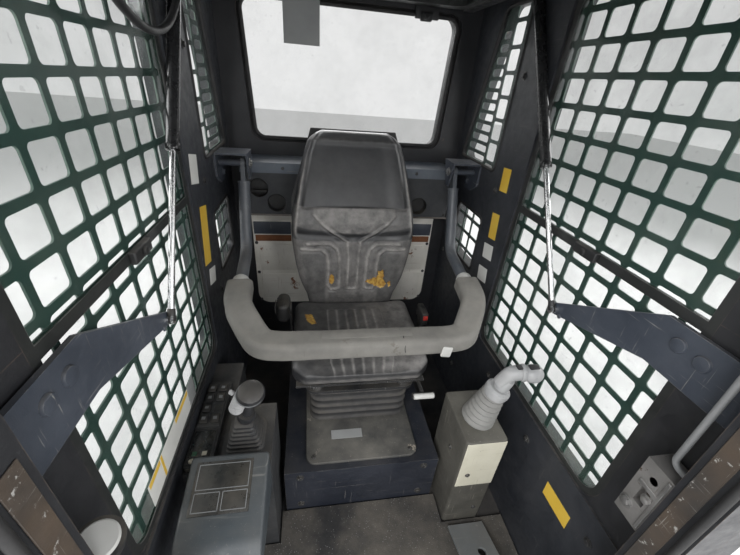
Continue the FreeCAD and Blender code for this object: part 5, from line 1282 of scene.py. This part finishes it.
            # The worn attribute carries the painted sunlight, shadow band and highlights along with the wear.
            vert[worn] = is_front * self.back_wear_and_light(x, z, width) + 0.03
            vert[torn] = float(is_front > 0.5 and any(self.inside(x, z, ring) for ring in self.tears))
        for vert in form.mesh.verts:
            if vert[torn] > 0.5:
                vert.co.y += self.tear_depth
        back = form.piece("backrest_pad", SEAT_VINYL, "seat_vinyl", "seat", ("seat_backrest",), 80.0)

    def cushion(self) -> None:
        """The cushion with its fingers, front roll and torn hole."""
        half = Vector(self.cushion_half)
        form = Form.slab(half, 0.030, (124, 96, 20))
        worn = form.mesh.verts.layers.float.new("worn")
        torn = form.mesh.verts.layers.float.new("torn")
        hole = ((-0.176, 0.160), (-0.152, 0.163), (-0.136, 0.112), (-0.150, 0.104), (-0.166, 0.118))
        for vert in form.mesh.verts:
            x, y, z = vert.co
            above = step_up(0.0, half.z, z)
            crown = 0.0055 * (1.0 - (x / half.x) ** 2) * (1.0 - (y / half.y) ** 2)
            bolster = 0.008 * step_up(0.55, 0.85, abs(x) / half.x)
            front_roll = -0.012 * step_up(-0.55, -1.0, y / half.y)
            fingers, lane = 0.0, (x + self.finger_edge) / self.finger_pitch
            if 0.0 < lane < self.finger_count and y > self.finger_front:
                end = 0.118 - 0.012 * (2.0 * (lane % 1.0) - 1.0) ** 2
                fade = step_up(end, end - 0.010, y) * step_up(self.finger_front, -0.120, y)
                fingers = 0.0060 * fade * abs(math.sin(math.pi * lane)) ** 0.5
            pull = 1.0 - 0.10 * step_up(0.72, 1.0, -y / half.y) ** 2 - 0.04 * step_up(0.85, 1.0, y / half.y)
            lift = above * (crown + bolster + front_roll - 0.010 + fingers)
            bulge = -0.007 * step_up(-0.9, -1.0, y / half.y) * (1.0 - (z / half.z) ** 2)
            place = Vector((x * pull, y + bulge, z + lift)) + Vector(self.cushion_middle)
            place.z += above * 0.0015 * noise.noise(place * 13.0)
            vert.co = place
            # Lighter towards the right: partly wear and partly painted sunlight.
            sunlit_and_worn = 0.18 + 0.42 * step_up(-0.2, 0.9, x / half.x + 0.4 * noise.noise(place * 6.0))
            seam = 0.0
            if 0.0 < lane < self.finger_count:
                seam = swell(min(lane % 1.0, 1.0 - lane % 1.0), 0.12)
            # roll: a painted highlight along the front roll near the cushion's bottom edge.
            roll = swell(z / half.z + 0.35, 0.22) * step_up(-0.93, -1.0, y / half.y)
            # rubbed and the worn attribute hold wear, painted sunlight on the right and the painted highlight
            # on the front roll together.
            rubbed = above * sunlit_and_worn + 0.06 + 0.45 * roll + 0.5 * seam * above * float(place.y < 0.195)
            vert[worn] = min(1.0, rubbed)
            vert[torn] = float(above > 0.9 and self.inside(place.x, place.y, hole))
        pad = form.piece("cushion_pad", SEAT_VINYL, "seat_vinyl", "seat", ("seat_cushion",), 80.0)

    def belt(self) -> None:
        """The belt's reel at the right hip and its buckle at the left."""
        reel = Form.box((-0.268, 0.120, 0.514), (-0.226, 0.212, 0.587), 0.018, 6)
        for k in range(5):
            step = k * 0.012
            reel.join(Form.box((-0.2695, 0.138 + step, 0.534), (-0.2245, 0.142 + step, 0.578), 0.002, 1))
        reel.join(Form.rod((-0.226, 0.166, 0.550), (-0.220, 0.166, 0.550), 0.022, soft=0.002))
        reel.join(Form.box((-0.226, 0.150, 0.434), (-0.220, 0.182, 0.530), 0.001, 1))
        reel.piece("belt_reel", BELT_PLASTIC, "belt_plastic", "seat", ("belt_retractor",))
        strap = Form.box((-0.248, 0.118, 0.5865), (-0.244, 0.166, 0.5890), 0.0005, 1)
        strap.join(Form.box((-0.272, 0.114, 0.560), (-0.2695, 0.160, 0.5885), 0.0005, 1))
        strap.piece("belt_strap", BELT_WEBBING, "belt_plastic", "seat")
        buckle = Form.box((0.2265, 0.078, 0.522), (0.2495, 0.150, 0.570), 0.006, 3)
        buckle.join(Form.box((0.2275, 0.092, 0.430), (0.2345, 0.132, 0.530), 0.002, 1))
        buckle.piece("belt_buckle_case", BELT_PLASTIC, "belt_plastic", "seat", ("belt_buckle",))
        Form.box((0.2300, 0.074, 0.545), (0.2460, 0.079, 0.562), 0.0015, 2).piece(
            "belt_release", BUTTON_RED, "belt_plastic", "seat")


@dataclass
class LapBar:
    """The padded bar that swings up over the operator."""

    pivot: Flat = (0.392, 0.985)
    tube_half: float = 0.373
    pad_half_width: float = 0.038
    pad_half_height: float = 0.028
    dent_depth: float = 0.0016
    pad_route: tuple = ((0.3664, 0.098, 0.6815), (0.3645, 0.060, 0.6750), (0.3625, 0.020, 0.6690),
                        (0.3450, -0.022, 0.6560), (0.3140, -0.072, 0.6370), (0.2880, -0.108, 0.6230),
                        (0.2400, -0.116, 0.6200), (0.1600, -0.116, 0.6200), (0.0, -0.116, 0.6200))

    def build(self, nodes: dict) -> None:
        """Dresses the tube and makes the foam with what it carries."""
        dress(nodes, BAR_PAINT, "lap_bar_tube")
        dress(nodes, BRACKET_PAINT, "pivot_bracket_left", "pivot_bracket_right")
        self.foam()
        self.sleeves()
        self.pivots()

    def foam(self) -> None:
        """The foam with its blank embossed field, dents and a crack."""
        right = [Vector(p) for p in self.pad_route]
        route = right + [Vector((-p.x, p.y, p.z)) for p in reversed(right[:-1])]
        section = rounded_outline(self.pad_half_width, self.pad_half_height, 0.016, 5)
        form = Form.sweep(route, section, upright=True)
        long_edges = [e for e in form.mesh.edges if e.calc_length() > 0.012]
        bmesh.ops.subdivide_edges(form.mesh, edges=long_edges, cuts=3, use_grid_fill=True)
        for vert in form.mesh.verts:
            p = vert.co
            vert.co = p + vert.normal * self.dent_depth * noise.noise(p * 17.0)
        foam = form.piece("lap_bar_foam", BAR_FOAM, "bar_foam", "lap_bar", ("lap_bar_pad",), 50.0)
        field = Form.box((-0.126, -0.127, 0.6450), (0.128, -0.098, 0.6496), 0.0015, 2)
        field.piece("blank_embossed_field", BAR_FOAM, "bar_foam", "lap_bar")
        split = [(0.094, -0.096, 0.6478), (0.100, -0.118, 0.6484), (0.097, -0.138, 0.6476),
                 (0.102, -0.1520, 0.640), (0.099, -0.1540, 0.626), (0.103, -0.1540, 0.612)]
        crack = Form.sweep(split, 0.0011)
        crack.piece("foam_crack", SEAL_RUBBER, "bar_foam", "lap_bar")

    def sleeves(self) -> None:
        """The pale sleeves at the foam's ends, and the pull tab on its front."""
        way = Vector((0.010, 0.280, 0.042)).normalized()
        start = Vector((self.tube_half - 0.007, 0.096, 0.6805))
        sleeve = ((0, 0), (0.0265, 0), (0.0268, 0.018), (0.0255, 0.028), (0.0225, 0.034), (0, 0.034))
        form = Form.lathe(sleeve, start, way)
        both(form).piece("foam_end_sleeves", SLEEVE_PLASTIC, "bar_foam", "lap_bar")
        tab = Form.prism([(0.207, 0.592), (0.236, 0.588), (0.240, 0.622), (0.211, 0.627)], Axis.Y,
                         -0.1565, -0.150, corner=0.004, soft=0.001)
        tab.piece("pull_tab", SLEEVE_PLASTIC, "bar_foam", "lap_bar")

    def pivots(self) -> None:
        """The bolts of the pivots and of their brackets."""
        y, z = self.pivot
        bolts = both(hex_bolt((0.352, y, z), (-1, 0, 0), 0.011, 0.006))
        bolts.piece("pivot_bolts", WORN_STEEL, "bracket_paint")
        wall = hex_bolt((0.449, 0.430, 0.945), (-1, 0, 0), 0.008)
        wall.join(hex_bolt((0.449, 0.430, 1.000), (-1, 0, 0), 0.008))
        both(wall).piece("pivot_wall_bolts", BRACKET_PAINT, "bracket_paint")


@dataclass
class Struts:
    """The gas struts of the door and the plates that carry them."""

    x: float = 0.440
    low: Flat = (-0.222, 0.796)
    high: Flat = (0.232, 1.502)
    plate_face: float = 0.447

    def build(self, nodes: dict) -> None:
        """Dresses the solids and adds joints, bolts and the cylinders' collars."""
        dress(nodes, BRACKET_PAINT, "strut_bracket_left", "strut_bracket_right")
        dress(nodes, BARE_STEEL, "strut_rods")
        dress(nodes, STRUT_PAINT, "strut_cylinders")
        start = Vector((self.x, *self.low))
        end = Vector((self.x, *self.high))
        way = (end - start).normalized()
        joints = Form.ball(start, (0.0078, 0.0105, 0.0105))
        joints.join(Form.rod(start - way * 0.004, start + way * 0.022, 0.0092, 0.0078, soft=0.001),
                    Form.rod(start, start + Vector((0.009, 0, 0)), 0.0055),
                    Form.rod(end - way * 0.022, end - way * 0.004, 0.0072, 0.0090, soft=0.001))
        both(joints).piece("strut_ball_joints", BELT_PLASTIC, "strut_paint")
        collar = Form.rod(start + way * 0.358, start + way * 0.374, 0.0146, soft=0.002)
        both(collar).piece("strut_collars", STRUT_PAINT, "strut_paint")
        discs = Form()
        for y, z in ((-0.499, 0.916), (-0.541, 0.914)):
            discs.join(Form.lathe(((0, 0), (0.0135, 0), (0.0135, 0.0015), (0.012, 0.004), (0.005, 0.0052),
                                   (0, 0.0052)), (self.plate_face, y, z), (-1, 0, 0)))
        discs.join(cap_screw((self.plate_face, -0.245, 0.790), (-1, 0, 0), 0.006))
        both(discs).piece("strut_plate_bolts", BRACKET_PAINT, "bracket_paint")


@dataclass
class StowedDoor:
    """The front door, tipped up and pushed back under the roof."""

    def build(self, nodes: dict) -> None:
        """Dresses the solids and adds the handle."""
        dress(nodes, WINDOW_BLACK, "door_frame")
        dress(nodes, CLEAR_GLASS, "door_glass")
        dress(nodes, BLACK_STEEL, "door_tracks")
        handle = Form.sweep([(-0.050, -0.538, 1.487), (-0.050, -0.538, 1.470), (-0.030, -0.538, 1.462),
                             (0.030, -0.538, 1.462), (0.050, -0.538, 1.470), (0.050, -0.538, 1.487)], 0.005)
        handle.piece("stowed_door_handle", BLACK_STEEL, "window_black")


@dataclass
class RightConsole:
    """The console with the switches and the display."""

    face_high: float = 0.446
    rocker_rows: int = 4
    rocker_pitch: float = 0.035
    blank_rocker: tuple = (2, 1)
    pressed_tilt: float = 5.0
    resting_tilt: float = -4.0

    def build(self, nodes: dict) -> None:
        """Dresses the solids and adds everything that they carry."""
        dress(nodes, CONSOLE_PLASTIC, "right_console", "side_console")
        self.switches()
        self.display()

    def switches(self) -> None:
        """The strip of rocker switches, a blank panel and two buttons."""
        high = self.face_high
        strip = Form.prism([(-0.455, -0.322), (-0.389, -0.322), (-0.389, -0.055), (-0.455, -0.055)], Axis.Z,
                           0.422, high - 0.006, corner=0.008, soft=0.003)
        for y0, y1 in ((-0.215, -0.065), (-0.318, -0.222)):
            strip.join(Form.box((-0.451, y0, high - 0.012), (-0.393, y1, high - 0.002), 0.003, 3))
        strip.piece("switch_bezel", CONSOLE_PLASTIC, "console_plastic", stands_for=("switch_panel",))
        rockers, marks = Form(), Form()
        for row in range(self.rocker_rows):
            for column in range(2):
                x, y = -0.4365 + column * 0.029, -0.087 - row * self.rocker_pitch
                low, far = (x - 0.011, y - 0.014), (x + 0.011, y + 0.014)
                if (row, column) == self.blank_rocker:
                    rockers.join(Form.box((*low, high - 0.003), (*far, high - 0.0012), 0.001, 1))
                    continue
                tilt = self.pressed_tilt if row % 2 else self.resting_tilt
                rocker = Form.box((*low, high - 0.006), (*far, high + 0.0035), 0.0025, 3)
                rockers.join(rocker.turned(tilt, Axis.X, (x, y, high)))
                mark = Form.box((x - 0.0048, y - 0.0040, high + 0.0032),
                                (x + 0.0048, y + 0.0050, high + 0.0042), 0.0004, 1)
                marks.join(mark.turned(tilt, Axis.X, (x, y, high)))
        rockers.piece("rocker_switches", BELT_PLASTIC, "console_plastic")
        marks.piece("rocker_marks", MARK_GREY, "console_plastic")
        panel = Form.box((-0.447, -0.300, high - 0.003), (-0.397, -0.228, high - 0.0005), 0.0015, 2)
        panel.piece("blank_panel", SCREEN, "console_plastic")
        button = ((0, 0), (0.006, 0), (0.006, 0.004), (0.004, 0.0055), (0, 0.0055))
        buttons = Form()
        for x in (-0.436, -0.411):
            buttons.join(Form.lathe(button, (x, -0.310, high - 0.003)))
        buttons.piece("pale_buttons", BUTTON_CREAM, "console_plastic")
        keys = (("green_key", -0.4335, BUTTON_GREEN), ("cream_key", -0.4110, BUTTON_CREAM))
        for name, x, finish in keys:
            key = Form.box((x - 0.0055, -0.297, high - 0.001), (x + 0.0055, -0.286, high + 0.0008), 0.0006, 1)
            key.piece(name, finish, "console_plastic")
        Form.box((-0.448, -0.3232, 0.4250), (-0.397, -0.3216, 0.4370), 0.0005, 1).piece(
            "tan_tab", TAN_PLASTIC, "console_plastic")

    def display(self) -> None:
        """The wedge-shaped display with its dark window and thin silver outlines."""
        wedge = [(-0.330, 0.494), (-0.500, 0.4605), (-0.528, 0.440), (-0.528, 0.404), (-0.505, 0.395),
                 (-0.330, 0.360)]
        body = Form.prism(wedge, Axis.X, -0.420, -0.252, corner=0.010, soft=0.009, segments=4)
        body.piece("display_case", POD_PLASTIC, "pod_plastic", stands_for=("monitor_pod",), sharp=50.0)
        slope = -math.degrees(math.atan2(0.494 - 0.4605, 0.170))
        pivot = (-0.336, -0.330, 0.494)

        def tipped(form: Form) -> Form:
            return form.turned(-slope, Axis.X, pivot)

        window = tipped(Form.box((-0.404, -0.452, 0.4925), (-0.284, -0.346, 0.4952), 0.0012, 2))
        window.piece("display_window", SCREEN, "pod_plastic")
        lines = Form()
        for x0, x1, y0, y1 in ((-0.398, -0.290, -0.404, -0.352), (-0.398, -0.346, -0.446, -0.409),
                               (-0.341, -0.290, -0.446, -0.409)):
            for low, high in (((x0, y0), (x1, y0 + 0.0016)), ((x0, y1 - 0.0016), (x1, y1)),
                              ((x0, y0), (x0 + 0.0016, y1)), ((x1 - 0.0016, y0), (x1, y1))):
                lines.join(tipped(Form.box((*low, 0.4950), (*high, 0.4957))))
        lines.piece("display_outlines", OUTLINE_SILVER, "pod_plastic")


@dataclass
class Levers:
    """The two control levers with their pleated boots."""

    y: float = -0.250
    x: float = 0.318
    foot: float = 0.442

    def build(self, nodes: dict) -> None:
        """Makes both levers."""
        self.dark_lever()
        self.pale_lever()

    def dark_lever(self) -> None:
        """The black lever, whose boot is square and steps inwards."""
        outline = rounded_outline(0.046, 0.046, 0.014, 4)
        levels = [(self.foot, 1.0), (self.foot + 0.004, 1.0)]
        for k in range(6):
            share = 0.93 - 0.085 * k
            base = self.foot + 0.006 + 0.0095 * k
            levels += [(base, share - 0.045), (base + 0.002, share - 0.05), (base + 0.006, share - 0.005),
                       (base + 0.0085, share)]
        levels += [(self.foot + 0.064, 0.42), (self.foot + 0.066, 0.36)]
        boot = pleats(outline, (-self.x, self.y), levels)
        boot.piece("square_boot", BOOT_RUBBER, "boot_rubber", stands_for=("control_boots",), sharp=60.0)
        stem = Form.rod((-self.x, self.y, 0.500), (-0.300, -0.256, 0.570), 0.014, 0.011, soft=0.002)
        stem.join(Form.lathe(((0, -0.010), (0.020, -0.010), (0.023, 0.0), (0.020, 0.010), (0, 0.010)),
                             (-0.312, -0.252, 0.522), (0.2, -0.1, 1.0), 24))
        stem.piece("dark_lever_stem", GRIP_BLACK, "grip_plastic", stands_for=("control_grips",))
        knob = Form.lathe(((0, -0.030), (0.014, -0.028), (0.024, -0.012), (0.031, 0.006), (0.0315, 0.018),
                           (0.028, 0.026), (0.018, 0.031), (0, 0.032)), (-0.292, -0.264, 0.602),
                          (0.10, -0.35, 0.93), 36)
        knob.piece("dark_knob", GRIP_BLACK, "grip_plastic")
        rim = Form.sweep([(-0.292 + 0.0315 * math.cos(a * math.tau / 24),
                           -0.264 - 0.35 * 0.016 + 0.0315 * math.sin(a * math.tau / 24) * 0.94,
                           0.602 + 0.014 + 0.35 * 0.0315 * math.sin(a * math.tau / 24)) for a in range(24)],
                         0.0014, closed=True)
        rim.piece("dark_knob_rim", OUTLINE_SILVER, "grip_plastic")
        ribs = Form()
        ring = ((0, -0.0045), (0.0155, -0.0045), (0.0175, 0.0), (0.0155, 0.0045), (0, 0.0045))
        for k in range(6):
            place = Vector((-0.330 + 0.0035 * k, -0.262, 0.560 + 0.0085 * k))
            ribs.join(Form.lathe(ring, place, (0.35, 0.0, 0.94), 24))
        ribs.join(Form.lathe(((0, 0), (0.006, 0), (0.0055, 0.008), (0, 0.010)), (-0.332, -0.262, 0.612),
                             (-0.6, -0.2, 0.8), 16))
        ribs.piece("ribbed_thumb_grip", GRIP_PLASTIC, "grip_plastic")

    def pale_lever(self) -> None:
        """The grey lever: a ribbed boot, a collar and a level grip with a rounded end."""
        boot = Form()
        start = Vector((0.312, -0.248, self.foot))
        for k in range(7):
            t = k / 6.0
            place = start + Vector((0.004 + 0.016 * t, -0.010 * t, 0.004 + 0.098 * t))
            r = 0.047 - 0.014 * t
            boot.join(Form.lathe(((0, -0.010), (r - 0.007, -0.010), (r - 0.001, -0.003), (r, 0.0),
                                  (r - 0.001, 0.003), (r - 0.007, 0.010), (0, 0.010)), place,
                                 (0.10 + 0.10 * t, -0.08, 1.0), 36))
        boot.piece("ribbed_boot", GREY_RUBBER, "boot_rubber")
        collar = Form.lathe(((0, -0.012), (0.031, -0.012), (0.034, 0.0), (0.033, 0.010), (0.026, 0.017),
                             (0, 0.017)), (0.336, -0.262, 0.560), (0.22, -0.12, 1.0), 32)
        collar.join(Form.rod((0.340, -0.264, 0.568), (0.352, -0.270, 0.612), 0.020, 0.018, soft=0.003))
        collar.piece("grip_collar", GRIP_PLASTIC, "grip_plastic")
        grip = Form.sweep([(0.338, -0.262, 0.590), (0.345, -0.266, 0.612), (0.352, -0.270, 0.630),
                           (0.372, -0.276, 0.638), (0.395, -0.282, 0.640)], 0.0195)
        grip.join(Form.ball((0.402, -0.284, 0.640), (0.028, 0.025, 0.0235)))
        grip.join(Form.rod((0.374, -0.276, 0.638), (0.384, -0.279, 0.639), 0.0225, soft=0.002))
        grip.piece("level_grip", GRIP_PLASTIC, "grip_plastic")
        keys = Form.box((0.386, -0.292, 0.660), (0.412, -0.276, 0.6655), 0.002, 2)
        keys.join(Form.box((0.358, -0.284, 0.6545), (0.372, -0.268, 0.660), 0.002, 2))
        keys.piece("grip_keys", GRIP_BLACK, "grip_plastic")


@dataclass
class TanConsole:
    """The faded console under the grey lever."""

    x0: float = 0.252
    x1: float = 0.372
    y0: float = -0.330
    y1: float = -0.150
    low: float = 0.050
    high: float = 0.442
    front_sheet: float = 0.0012

    def build(self, nodes: dict) -> None:
        """Makes the cover with its cream front and screws."""
        outline = [(self.x0, self.y0), (self.x1, self.y0), (self.x1, self.y1), (self.x0, self.y1)]
        cover = Form.prism(outline, Axis.Z, self.low, self.high, corner=0.010, soft=0.005, segments=3)
        cover.piece("tan_cover", TAN_PLASTIC, "tan_plastic", stands_for=("left_console",))
        face = self.y0 - self.front_sheet
        front = Form.box((self.x0 + 0.003, face, 0.246), (self.x1 - 0.003, self.y0 + 0.002, 0.437), 0.001, 1)
        front.piece("cream_front", CREAM_PAINT, "tan_plastic")
        middle = (self.x0 + self.x1) / 2.0
        screws = cap_screw((middle - 0.03, face, 0.30), (0, -1, 0), 0.007)
        screws.join(cap_screw((middle + 0.03, self.y0, 0.12), (0, -1, 0), 0.007),
                    cap_screw((self.x0, -0.26, 0.33), (-1, 0, 0), 0.007))
        screws.piece("tan_cover_screws", BLACK_STEEL, "tan_plastic")


@dataclass
class Foreground:
    """The foot pedal, the door latch, the grab handle and a small lamp."""

    def build(self, nodes: dict) -> None:
        """Dresses the solids and adds the latch's small parts and the lamp."""
        dress(nodes, LATCH_STEEL, "door_latch")
        dress(nodes, HANDLE_PAINT, "grab_handle")
        dress(nodes, PEDAL_STEEL, "foot_pedal")
        self.latch_parts()
        self.post_lamp()

    def post_lamp(self) -> None:
        """A round lamp that stands off the right front post."""
        place, way = (-0.418, -0.602, 0.726), (0.15, -0.10, 1.0)
        case = Form.lathe(((0, -0.020), (0.018, -0.020), (0.027, -0.008), (0.030, 0.004), (0.030, 0.010),
                           (0.026, 0.011), (0, 0.011)), place, way, 36)
        case.join(Form.rod((-0.4555, -0.602, 0.722), (-0.440, -0.602, 0.722), 0.011, soft=0.002),
                  Form.box((-0.4558, -0.622, 0.700), (-0.4520, -0.582, 0.744), 0.0012, 2))
        case.piece("post_lamp_case", BELT_PLASTIC, "latch_steel")
        face = Form.lathe(((0, 0.0105), (0.0245, 0.0105), (0.0245, 0.0125), (0.022, 0.0145), (0, 0.0155)),
                          place, way, 36)
        face.piece("post_lamp_face", SLEEVE_PLASTIC, "latch_steel")

    def latch_parts(self) -> None:
        """The latch's roller, bolts and plates."""
        form = Form.rod((0.452, -0.604, 0.715), (0.406, -0.604, 0.715), 0.009, soft=0.002)
        form.join(hex_bolt((0.406, -0.590, 0.635), (-1, 0, 0), 0.008),
                  hex_bolt((0.406, -0.612, 0.675), (-1, 0, 0), 0.007),
                  Form.box((0.403, -0.622, 0.690), (0.407, -0.588, 0.700), 0.001, 1),
                  Form.box((0.403, -0.626, 0.612), (0.407, -0.620, 0.740), 0.001, 1))
        form.piece("latch_rollers", WORN_STEEL, "latch_steel")


@dataclass
class Studio:
    """A pale floor and plain soft light."""

    floor_tone: float = 0.72
    sky: float = 0.92
    world: float = 0.75

    def build(self) -> None:
        """Makes the floor, the world and the lamps."""
        self.floor()
        self.surroundings()
        for name, place, aim, size, watts in (
                ("front_lamp", (-1.6, -3.4, 2.9), (0.0, 0.1, 0.8), 2.6, 150.0),
                ("front_fill", (2.2, -3.0, 1.9), (0.0, 0.1, 0.8), 2.6, 90.0),
                ("left_window_lamp", (-3.4, 0.2, 2.2), (0.0, 0.0, 0.8), 2.4, 110.0),
                ("right_window_lamp", (3.4, 0.2, 2.2), (0.0, 0.0, 0.8), 2.4, 110.0),
                ("rear_lamp", (0.0, 3.8, 2.8), (0.0, 0.3, 1.1), 2.4, 90.0)):
            self.lamp(name, Vector(place), Vector(aim), size, watts)

    def floor(self) -> None:
        """A wide pale slab just under the cab."""
        form = Form.box((-14.0, -14.0, -0.05), (14.0, 14.0, -0.0006))
        data = bpy.data.meshes.new("studio_floor")
        form.mesh.to_mesh(data)
        form.mesh.free()
        tone = self.floor_tone
        shade = (tone * 0.98, tone * 0.98, tone * 0.97)
        data.materials.append(Finish("studio_floor", (tone, tone, tone), shade, 0.8).material())
        made = bpy.data.objects.new("studio_floor", data)
        bpy.context.scene.collection.objects.link(made)

    def surroundings(self) -> None:
        """A plain white view behind an evenly lit world."""
        world = bpy.data.worlds.new("studio")
        bpy.context.scene.world = world
        world.use_nodes = True
        nodes, links = world.node_tree.nodes, world.node_tree.links
        nodes.clear()
        path = nodes.new("ShaderNodeLightPath")
        seen = nodes.new("ShaderNodeMath")
        seen.operation = "MAXIMUM"
        links.new(path.outputs["Is Camera Ray"], seen.inputs[0])
        clear = nodes.new("ShaderNodeMath")
        clear.operation = "MAXIMUM"
        links.new(path.outputs["Is Glossy Ray"], clear.inputs[0])
        links.new(path.outputs["Is Transmission Ray"], clear.inputs[1])
        links.new(clear.outputs[0], seen.inputs[1])
        light = nodes.new("ShaderNodeBackground")
        light.inputs["Color"].default_value = (1.0, 1.0, 1.0, 1.0)
        light.inputs["Strength"].default_value = self.world
        view = nodes.new("ShaderNodeBackground")
        view.inputs["Color"].default_value = (1.0, 1.0, 1.0, 1.0)
        view.inputs["Strength"].default_value = self.sky
        mix = nodes.new("ShaderNodeMixShader")
        links.new(seen.outputs[0], mix.inputs[0])
        links.new(light.outputs[0], mix.inputs[1])
        links.new(view.outputs[0], mix.inputs[2])
        end = nodes.new("ShaderNodeOutputWorld")
        links.new(mix.outputs[0], end.inputs["Surface"])

    def lamp(self, name: str, place: Vector, aim: Vector, size: float, watts: float) -> None:
        """A square soft lamp that shines from one place to another."""
        data = bpy.data.lights.new(name, "AREA")
        data.shape = "SQUARE"
        data.size = size
        data.energy = watts
        lamp = bpy.data.objects.new(name, data)
        turn = (aim - place).to_track_quat("-Z", "Y").to_matrix().to_4x4()
        lamp.matrix_world = Matrix.Translation(place) @ turn
        lamp.visible_camera = False
        bpy.context.scene.collection.objects.link(lamp)


def main() -> None:
    """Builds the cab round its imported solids."""
    logging.basicConfig(level=logging.INFO, format="%(name)s: %(message)s")
    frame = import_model()
    nodes = frame["nodes"]
    bpy.context.scene.view_settings.view_transform = "Standard"
    Viewpoint().build()
    Hose().build()
    for part in (Shell(), Windows(), RearWall(), SeatBase(), Seat(), LapBar(), Struts(), StowedDoor(),
                 RightConsole(), Levers(), TanConsole(), Foreground()):
        LOG.info("building %s", type(part).__name__)
        part.build(nodes)
    Studio().build()


if __name__ == "__main__":
    main()
